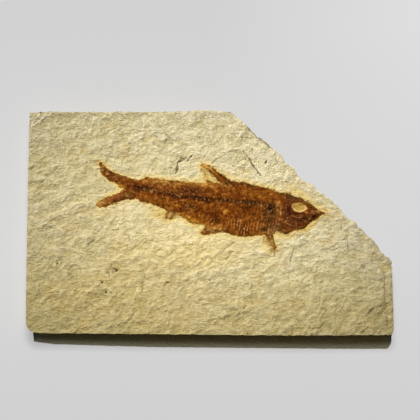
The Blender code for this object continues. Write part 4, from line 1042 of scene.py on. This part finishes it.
def build_fish(material):
    """The fossil: bones, fin rays and scaly skin in low relief, dipping under the stone at its edge."""
    x, y, depth, cells = fish_cells(fish_outline())
    relief, masks = fish_relief(x, y, depth)
    stone, bed = stone_height(x + FISH_PLACE[0], y + FISH_PLACE[1])
    stone -= BED_SMOOTHING * bed["relief"] * smooth(0.0, 2.0, depth)
    dome = DOME_HEIGHT * (1.0 - np.exp(-np.maximum(depth, 0.0) / DOME_REACH))
    edge = -0.16 * smooth(0.05, -SINK, depth) + 0.10 * smooth(-0.1, 0.4, depth)
    top = stone + edge + dome + relief * smooth(-0.1, 0.5, depth)
    upper = np.column_stack([x + FISH_PLACE[0], y + FISH_PLACE[1], top])

    ring, walls = border_walls(cells, len(x))
    lower = upper[ring]
    lower[:, 2] = THICKNESS - WALL_DEPTH
    for key, values in masks.items():
        masks[key] = np.append(values, values[ring])
    return add_mesh("fossil_fish", np.vstack([upper, lower]), cells.tolist() + walls, material, masks)


def ribs(x, y, depth):
    """Ribs and fine bones of the trunk: their relief, how pale they are and where the trunk is."""
    above = y - np.interp(x, *curve(SPINE).T)
    trunk = smooth(-33.0, -27.0, x) * smooth(31.0, 27.5, x) * smooth(0.1, 0.9, depth)
    lean = np.where(above > 0.0, 0.50 * above, (0.18 + 0.28 * smooth(8.0, -6.0, x)) * -above)
    lean = np.where((above < 0.0) & (x < -11.0), 0.40 * above, lean)
    along = x + lean + 0.45 * NOISES[0](x / 5.0, y / 5.0) + 0.15 * NOISES[1](x / 1.4, y / 1.4)
    low = smooth(4.5, 0.0, y) * smooth(-6.0, 6.0, x)
    rib = wave(along, RIB_SPACING) * (smooth(-0.8, -1.8, above) + 0.5 * smooth(0.8, 1.8, above))
    rib *= trunk * (0.42 + 0.58 * low) * smooth(-0.35, 0.55, NOISES[2](x / 2.4, y / 2.6) + 0.35 * low)
    streak = trunk * (NOISES[3](along / 0.62, above / 1.7) + 0.6 * NOISES[4](along / 0.95, above / 0.8))
    return 0.08 * rib + 0.05 * streak, 0.42 * rib + 0.62 * streak, trunk


def backbone(x, y):
    """The row of vertebrae: its relief, how pale it is and the dark band that it lies in."""
    line = curve(SPINE)
    distance, share, _ = line_field(x, y, line)
    travelled = share * span_lengths(line).sum()
    reach = smooth(-36.0, -28.0, x) * smooth(27.0, 13.0, x)
    front = smooth(-16.0, -4.0, x) * smooth(16.0, 9.0, x)
    band_width = BAND_HALF_WIDTH + 0.4 * NOISES[9](x / 2.5, y / 2.5)
    band = np.exp(-(distance / band_width) ** 4) * reach * (0.66 + 0.34 * front)
    bead = np.exp(-(distance / BEAD_HALF_WIDTH) ** 4) * reach
    bead *= wave(travelled + 0.25 * NOISES[5](x / 2.0, y / 2.0), BEAD_SPACING)
    bead *= smooth(-0.8, 0.2, NOISES[6](x / 2.2, y / 1.4))
    return 0.11 * bead - 0.06 * band, (0.06 + 0.40 * front) * bead, band


def fin_rays(x, y, clear):
    """Rays that fan out from lead to trail, where the place is clear: relief, paleness and the fins."""
    waver = 0.25 * NOISES[3](x / 1.5, y / 1.5)
    rays = np.zeros(x.shape)
    fins = np.zeros(x.shape)
    for lead, trail, count in FIN_RAYS:
        to_lead, _, _ = line_field(x, y, curve(lead, 3))
        to_trail, _, _ = line_field(x, y, curve(trail, 3))
        near = clear * smooth(3.4, 1.8, np.minimum(to_lead, to_trail))
        share = to_lead / np.maximum(to_lead + to_trail, 1e-6)
        rays += near * wave(count * share + waver, 1.0)
        fins = np.maximum(fins, near)
    return 0.06 * rays, 0.22 * rays * smooth(-0.6, 0.3, NOISES[4](x / 1.6, y / 1.6)), fins


def eye_marks(x, y):
    """The sunk eye with its raised ring: its relief, its mask and its tone."""
    c, s = math.cos(EYE_TURN), math.sin(EYE_TURN)
    ex, ey = x - EYE_CENTRE[0], y - EYE_CENTRE[1]
    radius = np.hypot((ex * c + ey * s) / EYE_AXES[0], (ey * c - ex * s) / EYE_AXES[1])
    radius += 0.10 * NOISES[4](x / 1.3, y / 1.3) + 0.05 * NOISES[8](x / 0.6, y / 0.6)
    radius += patches(x, y, EYE_DENTS)
    relief = -0.24 * smooth(1.0, 0.55, radius) + 0.18 * np.exp(-((radius - 1.16) / 0.16) ** 2)
    inner_ring = np.exp(-((radius - 0.84) / 0.14) ** 2) * smooth(1.6, -0.4, ey)
    tone = 0.38 + 0.38 * inner_ring + patches(x, y, EYE_PATCHES) + 0.22 * NOISES[2](x / 0.8, y / 0.5)
    return relief, smooth(1.05, 0.93, radius), tone - 0.20 * smooth(0.2, 1.8, ey)


def drawn_bones(x, y, clear, head):
    """Bones, streaks and pale points that are placed one by one: their relief and how pale they are. The
    pale points are painted glints.
    """
    relief = np.zeros(x.shape)
    pale = np.zeros(x.shape)
    for line, width, rise, paleness in STROKES:
        distance, share, _ = line_field(x, y, curve(line, 4), 3.0)
        ridge = np.exp(-(distance / width) ** 2) * tapered(share, 0.2) * clear
        relief += rise * ridge
        pale += paleness * ridge * (1.0 + 0.5 * head)
    for at_x, at_y, strength in GLINTS:
        glint = strength * patch(x, y, at_x, at_y, 0.36, 0.28, 35.0 * math.sin(3.0 * at_x))
        relief += 0.06 * glint
        pale += glint
    return relief, pale


def cheek_arcs(x, y, head):
    """Faint arcs around the cheek, about zero."""
    cheek_x, cheek_y = x - CHEEK[0], y - CHEEK[1]
    reach = np.hypot(cheek_x, 1.1 * cheek_y) + 0.30 * NOISES[1](x / 2.4, y / 2.4)
    arcs = wave(reach, ARC_SPACING) * smooth(3.4, 4.2, reach) * smooth(11.0, 8.0, reach)
    arcs *= head * smooth(2.5, -1.0, cheek_y + 0.25 * cheek_x)
    return arcs * smooth(-0.6, 0.3, NOISES[3](x / 1.6, y / 1.6))


def fish_relief(x, y, depth):
    """Relief of the fossil in its own frame, and the masks for its colours."""
    head = smooth(28.0, 31.0, x)
    rear = smooth(4.0, -10.0, x)
    rib_relief, rib_fleck, trunk = ribs(x, y, depth)
    spine_relief, spine_fleck, band = backbone(x, y)
    fin_relief, fin_fleck, fins = fin_rays(x, y, (1.0 - trunk) * (1.0 - head))
    eye_relief, eye, eye_tone = eye_marks(x, y)
    bone_relief, bone_fleck_and_glint = drawn_bones(x, y, 1.0 - eye, head)
    arcs = cheek_arcs(x, y, head)

    broad = NOISES[5](x / 3.4, y / 2.4)
    coarse = NOISES[6](x / 1.7, y / 1.3)
    middle = NOISES[7](x / 0.85, y / 0.75)
    fine = NOISES[8](x / 0.5, y / 0.45)
    speckle = (0.14 * coarse + 0.32 * middle + 0.24 * fine) * (1.0 - 0.35 * head + 0.35 * rear)
    relief = rib_relief + spine_relief + fin_relief + eye_relief + bone_relief + 0.05 * arcs
    relief += 0.06 * coarse + 0.045 * middle + 0.025 * fine
    # The pale flecks here are partly painted glints.
    fleck_and_glint = rib_fleck + spine_fleck + fin_fleck + bone_fleck_and_glint + 0.38 * arcs
    fleck_and_glint += patches(x, y, FLECK_PATCHES) + np.where(speckle > 0.0, 0.45, 1.15) * speckle
    tone = 0.565 + 1.35 * patches(x, y, TONE_PATCHES) + 0.20 * broad + 0.17 * coarse + 0.06 * middle
    tone += 0.05 * rear * (coarse + middle) - 0.34 * band - 0.08 * head - 0.03 * fins
    masks = {
        "tone": tone,
        "fleck_and_glint": fleck_and_glint,
        "depth": np.clip(depth, -0.5, 3.0),
        "gold": np.clip(patches(x, y, GOLD_PATCHES), 0.0, 1.0),
        "plum": np.clip(patches(x, y, PLUM_PATCHES) * (0.8 + 0.5 * coarse), 0.0, 1.0),
        "olive": np.clip(patches(x, y, OLIVE_PATCHES) * (0.8 + 0.6 * coarse), 0.0, 1.0),
        "eye": eye,
        "eye_tone": eye_tone,
    }
    return relief, masks


# ---- Materials ----

class Tree:
    """Short ways to build a node material."""

    def __init__(self, name):
        self.material = bpy.data.materials.new(name)
        self.material.use_nodes = True
        self.nodes = self.material.node_tree.nodes
        self.links = self.material.node_tree.links
        self.shader = self.nodes["Principled BSDF"]
        self.place = self.nodes.new("ShaderNodeTexCoord").outputs["Object"]

    def put(self, socket, value):
        """Set a socket from a number, a colour or another node's output."""
        if isinstance(value, bpy.types.NodeSocket):
            self.links.new(value, socket)
        elif isinstance(value, tuple) and len(value) == 3 and socket.type == "RGBA":
            socket.default_value = (*value, 1.0)
        else:
            socket.default_value = value

    def mask(self, name):
        """The value of a vertex attribute."""
        node = self.nodes.new("ShaderNodeAttribute")
        node.attribute_name = name
        return node.outputs["Fac"]

    def math(self, operation, first, second=0.0):
        """One step of arithmetic."""
        node = self.nodes.new("ShaderNodeMath")
        node.operation = operation
        self.put(node.inputs[0], first)
        self.put(node.inputs[1], second)
        return node.outputs[0]

    def mix(self, amount, first, second, blend="MIX"):
        """A mix of two colours."""
        node = self.nodes.new("ShaderNodeMix")
        node.data_type = "RGBA"
        node.blend_type = blend
        self.put(node.inputs["Factor"], amount)
        self.put(node.inputs[6], first)
        self.put(node.inputs[7], second)
        return node.outputs[2]

    def layers(self, colour, table):
        """Tints over a colour: each comes in, up to an amount, as its value goes from low to high."""
        for value, low, high, amount, tint in table:
            colour = self.mix(self.span(value, low, high, 0.0, amount), colour, tint)
        return colour

    def spots(self, size, detail=2.0, stretch=(1.0, 1.0, 1.0), turn=0.0):
        """Noise with features of about a size in millimetres, 0 to 1."""
        mapping = self.nodes.new("ShaderNodeMapping")
        mapping.inputs["Rotation"].default_value = (0.0, 0.0, turn)
        mapping.inputs["Scale"].default_value = stretch
        self.links.new(self.place, mapping.inputs["Vector"])
        node = self.nodes.new("ShaderNodeTexNoise")
        node.inputs["Scale"].default_value = 1.0 / MM / size
        node.inputs["Detail"].default_value = detail
        self.links.new(mapping.outputs["Vector"], node.inputs["Vector"])
        return node.outputs["Fac"]

    def line(self, name, strength, grain):
        """How much of the nearest drawn line shows, from its signed distance in half widths."""
        distance = self.math("ABSOLUTE", self.mask(name))
        distance = self.math("ADD", distance, self.span(grain, 0.3, 0.7, -0.35, 0.35))
        return self.math("MULTIPLY", self.span(distance, 1.15, 0.35), self.mask(strength))

    def ramp(self, value, stops):
        """A colour ramp: places and linear colours."""
        node = self.nodes.new("ShaderNodeValToRGB")
        elements = node.color_ramp.elements
        while len(elements) < len(stops):
            elements.new(0.5)
        for element, (position, colour) in zip(elements, stops):
            element.position = position
            element.color = (*colour, 1.0)
        self.links.new(value, node.inputs["Fac"])
        return node.outputs["Color"]

    def span(self, value, low, high, new_low=0.0, new_high=1.0):
        """A value moved from one range to another, and held within it."""
        node = self.nodes.new("ShaderNodeMapRange")
        limits = {"From Min": low, "From Max": high, "To Min": new_low, "To Max": new_high}
        for key, number in limits.items():
            node.inputs[key].default_value = number
        self.links.new(value, node.inputs["Value"])
        return node.outputs["Result"]

    def surface(self, colour, roughness, specular):
        """What the shader shows."""
        self.put(self.shader.inputs["Base Color"], colour)
        self.put(self.shader.inputs["Roughness"], roughness)
        self.put(self.shader.inputs["Specular IOR Level"], specular)

    def bump(self, value, strength, distance):
        """Fine relief from a value, on top of what is already there."""
        node = self.nodes.new("ShaderNodeBump")
        node.inputs["Strength"].default_value = strength
        node.inputs["Distance"].default_value = distance * MM
        self.links.new(value, node.inputs["Height"])
        self.links.new(node.outputs["Normal"], self.shader.inputs["Normal"])


def bare_stone(t, speckle, grain):
    """Mottled limestone with painted shade in its hollows, painted highlights on its flakes and painted
    light.
    """
    mottle = t.spots(9.0, 3.0, (1.0, 1.8, 1.0), -RIPPLE_ANGLE)
    tan = t.spots(7.5, 2.0, (1.0, 1.6, 1.0), -RIPPLE_ANGLE)
    relief = t.mask("relief")
    colour = t.layers(STONE, [
        (mottle, 0.35, 0.70, 0.40, STONE_GREY),
        (speckle, 0.42, 0.66, 0.22, STONE_DARK_AND_SHADE),
        (speckle, 0.50, 0.30, 0.30, STONE_PALE_AND_HIGHLIGHT),
        (tan, 0.52, 0.72, 0.60, STONE_TAN),
        # Painted shade in the hollows of the fine relief, and painted highlight on its flakes.
        (relief, 0.02, -0.24, 0.42, STONE_DARK_AND_SHADE),
        (relief, -0.02, 0.24, 0.32, STONE_PALE_AND_HIGHLIGHT),
    ])
    # Painted light: the colour is multiplied by the painted light mask and a little random grain.
    light = t.math("MULTIPLY", t.mask("light"), t.span(grain, 0.25, 0.75, 0.80, 1.20))
    shade = t.nodes.new("ShaderNodeCombineColor")
    for channel in shade.inputs:
        t.links.new(light, channel)
    colour = t.mix(1.0, colour, shade.outputs["Color"], "MULTIPLY")
    return t.mix(t.mask("warm"), colour, WARM_TINT, "MULTIPLY")


def stone_material():
    """Pale matte limestone: stained round the fish, cracked and pitted, layered at its sides, with painted
    light and shade.
    """
    t = Tree("limestone_surface")
    speckle = t.spots(1.6, 3.0, (1.0, 1.5, 1.0), -RIPPLE_ANGLE)
    grain = t.spots(0.45, 2.0)
    stain = t.mask("stain")
    ragged = t.math("ADD", t.span(speckle, 0.3, 0.7, -0.5, 0.5), t.span(grain, 0.25, 0.75, -0.22, 0.22))
    gap = t.math("ADD", t.mask("gap"), ragged)
    colour = t.layers(bare_stone(t, speckle, grain), [
        (stain, 0.05, 0.65, 0.90, STAIN_LIGHT),
        (stain, 0.45, 1.10, 0.75, STAIN_DEEP),
        (gap, 2.8, 0.4, 0.70, STAIN_LIGHT),
        (gap, 1.0, 0.1, 0.55, STAIN_DEEP),
        (gap, 0.35, -0.05, 0.80, INK),
    ])
    crack = t.line("crack", "crack_dark", grain)
    pit = t.math("MULTIPLY", t.mask("pit_dark"), t.span(t.mask("pit"), 1.0, 0.6))
    colour = t.mix(t.line("scratch", "scratch_pale", grain), colour, STONE_PALE_AND_HIGHLIGHT)
    colour = t.mix(crack, colour, CRACK_DARK)
    colour = t.mix(t.math("ADD", pit, t.mask("ring_dark")), colour, CRACK_DARK)
    colour = t.mix(t.mask("ink"), colour, INK)

    beds = t.spots(2.4, 2.0, (0.05, 0.05, 2.2))
    foot = t.mask("foot")
    side = t.layers(SIDE_DARK, [
        (beds, 0.35, 0.65, 1.0, SIDE_STONE_AND_SHADE),
        (speckle, 0.35, 0.65, 0.35, SIDE_PALE),
        # Painted light at the foot of the side faces, and painted shade close under the front rim.
        (foot, 0.0, 1.0, 1.0, FOOT_PAINTED_LIGHT),
        (foot, 0.0, -0.5, 0.9, BONE_DARK_AND_SHADE),
    ])
    t.surface(t.mix(t.mask("side"), colour, side), 0.88, 0.10)
    rough = t.math("ADD", grain, t.math("MULTIPLY", speckle, 0.8))
    t.bump(t.math("SUBTRACT", rough, crack), 1.0, 0.80)
    return t.material


def bone_material():
    """Dark mineralised bone: brown to orange, with purple, olive and golden tints and pale flecks, partly
    painted glints.
    """
    t = Tree("fossil_surface")
    spot = t.spots(0.8, 2.0, (1.4, 0.8, 1.0))
    grain = t.spots(0.42, 2.0)
    gold = t.mask("gold")
    tone = t.math("ADD", t.mask("tone"), t.span(spot, 0.25, 0.75, -0.06, 0.06))
    edge = t.math("ADD", t.mask("depth"), t.span(spot, 0.3, 0.7, -0.5, 0.5))
    fleck_and_glint = t.math("ADD", t.mask("fleck_and_glint"), t.span(grain, 0.25, 0.75, -0.55, 0.55))
    eye_tone = t.math("ADD", t.mask("eye_tone"), t.span(grain, 0.3, 0.7, -0.12, 0.12))
    rim_amount = t.math("MULTIPLY", t.span(edge, 0.8, 0.0), t.span(gold, 0.4, 0.0, 0.0, 0.6))
    gold_amount = t.math("MULTIPLY", t.span(edge, 1.6, 0.1), t.span(gold, 0.1, 0.9, 0.0, 0.85))
    colour = t.mix(t.mask("plum"), t.ramp(tone, BONE_TONES), t.ramp(tone, PLUM_TONES))
    colour = t.mix(t.mask("olive"), colour, t.ramp(tone, OLIVE_TONES))
    colour = t.mix(rim_amount, colour, RIM)
    colour = t.mix(gold_amount, colour, GOLD)
    colour = t.layers(colour, [
        # Pale flecks, partly painted glints, and dark flecks.
        (fleck_and_glint, 0.30, 1.60, 0.72, BONE_PALE_AND_GLINT),
        (fleck_and_glint, 0.05, -1.30, 0.85, BONE_DARK_AND_SHADE),
    ])
    colour = t.mix(t.mask("eye"), colour, t.ramp(eye_tone, EYE_TONES))
    t.surface(colour, 0.55, 0.02)
    t.bump(t.math("ADD", grain, t.math("MULTIPLY", spot, 1.2)), 0.6, 0.10)
    return t.material


# ---- Floor, light and camera ----

def build_floor():
    """A plain pale floor that stretches far past the slab, with painted light in broad steps: darker in
    front and behind, brightest in the middle and back right.
    """
    corners = [(-FLOOR_HALF, -FLOOR_HALF), (FLOOR_HALF, -FLOOR_HALF), (FLOOR_HALF, FLOOR_HALF),
               (-FLOOR_HALF, FLOOR_HALF)]
    data = bpy.data.meshes.new("floor")
    data.from_pydata([(x, y, 0.0) for x, y in corners], [], [(0, 1, 2, 3)])
    floor = bpy.data.objects.new("floor", data)
    bpy.context.scene.collection.objects.link(floor)
    t = Tree("floor_surface")
    split = t.nodes.new("ShaderNodeSeparateXYZ")
    t.links.new(t.place, split.inputs["Vector"])
    along, back = split.outputs["X"], split.outputs["Y"]
    colour = t.mix(t.span(back, -0.11, -0.01), FLOOR_NEAR, FLOOR_COLOUR)
    colour = t.mix(t.span(back, 0.0, 0.11), colour, FLOOR_FAR)
    corner = t.math("MULTIPLY", t.span(along, 0.0, 0.09), t.span(back, 0.0, 0.10))
    t.surface(t.mix(corner, colour, FLOOR_CORNER), 0.95, 0.0)
    data.materials.append(t.material)
    floor.visible_diffuse = False
    floor.location.z = -FLOOR_DROP
    return floor


def group_of(name, objects):
    """A collection that lights can be linked to."""
    group = bpy.data.collections.new(name)
    for item in objects:
        group.objects.link(item)
    return group


def area_light(name, place, size, power, colour, group):
    """A soft square light, aimed at the middle of the slab, that lights one group."""
    data = bpy.data.lights.new(name, "AREA")
    data.shape = "SQUARE"
    data.size = size
    data.energy = power
    data.color = colour
    lamp = bpy.data.objects.new(name, data)
    bpy.context.scene.collection.objects.link(lamp)
    lamp.location = place
    lamp.rotation_mode = "QUATERNION"
    lamp.rotation_quaternion = (LIGHT_TARGET - lamp.location).to_track_quat("-Z", "Y")
    lamp.light_linking.receiver_collection = group
    return lamp


def build_lights(lit, floor):
    """The slab and the fish have their own lights. One of the floor's two lights casts no shadow."""
    lit_group = group_of("lit_object", lit)
    floor_group = group_of("lit_floor", [floor])
    for light in OBJECT_LIGHTS:
        area_light(*light, lit_group)
    area_light(*SHADOWLESS_LIGHT, floor_group).light_linking.blocker_collection = floor_group
    area_light(*SHADOW_LIGHT, floor_group)


def build_world():
    """A faint white surrounding light."""
    world = bpy.data.worlds.new("studio")
    world.use_nodes = True
    background = world.node_tree.nodes["Background"]
    background.inputs["Color"].default_value = (*WHITE, 1.0)
    background.inputs["Strength"].default_value = WORLD_STRENGTH
    bpy.context.scene.world = world
    bpy.context.scene.view_settings.view_transform = "Standard"


def build_camera():
    """The camera looks down on the slab from the front, from far off."""
    data = bpy.data.cameras.new("camera")
    data.sensor_width = 36.0
    data.lens = CAMERA_LENS
    camera = bpy.data.objects.new("camera", data)
    bpy.context.scene.collection.objects.link(camera)
    back = Vector((0.0, -math.cos(CAMERA_ELEVATION), math.sin(CAMERA_ELEVATION)))
    camera.location = Vector(CAMERA_TARGET) + CAMERA_DISTANCE * back
    camera.rotation_euler = (math.radians(90.0) - CAMERA_ELEVATION, 0.0, 0.0)
    bpy.context.scene.camera = camera


slab = build_slab(stone_material())
fish = build_fish(bone_material())
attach(slab, "root")
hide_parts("slab")
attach(fish, "root")
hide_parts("fish")

floor = build_floor()
build_lights([slab, fish], floor)
build_world()
build_camera()
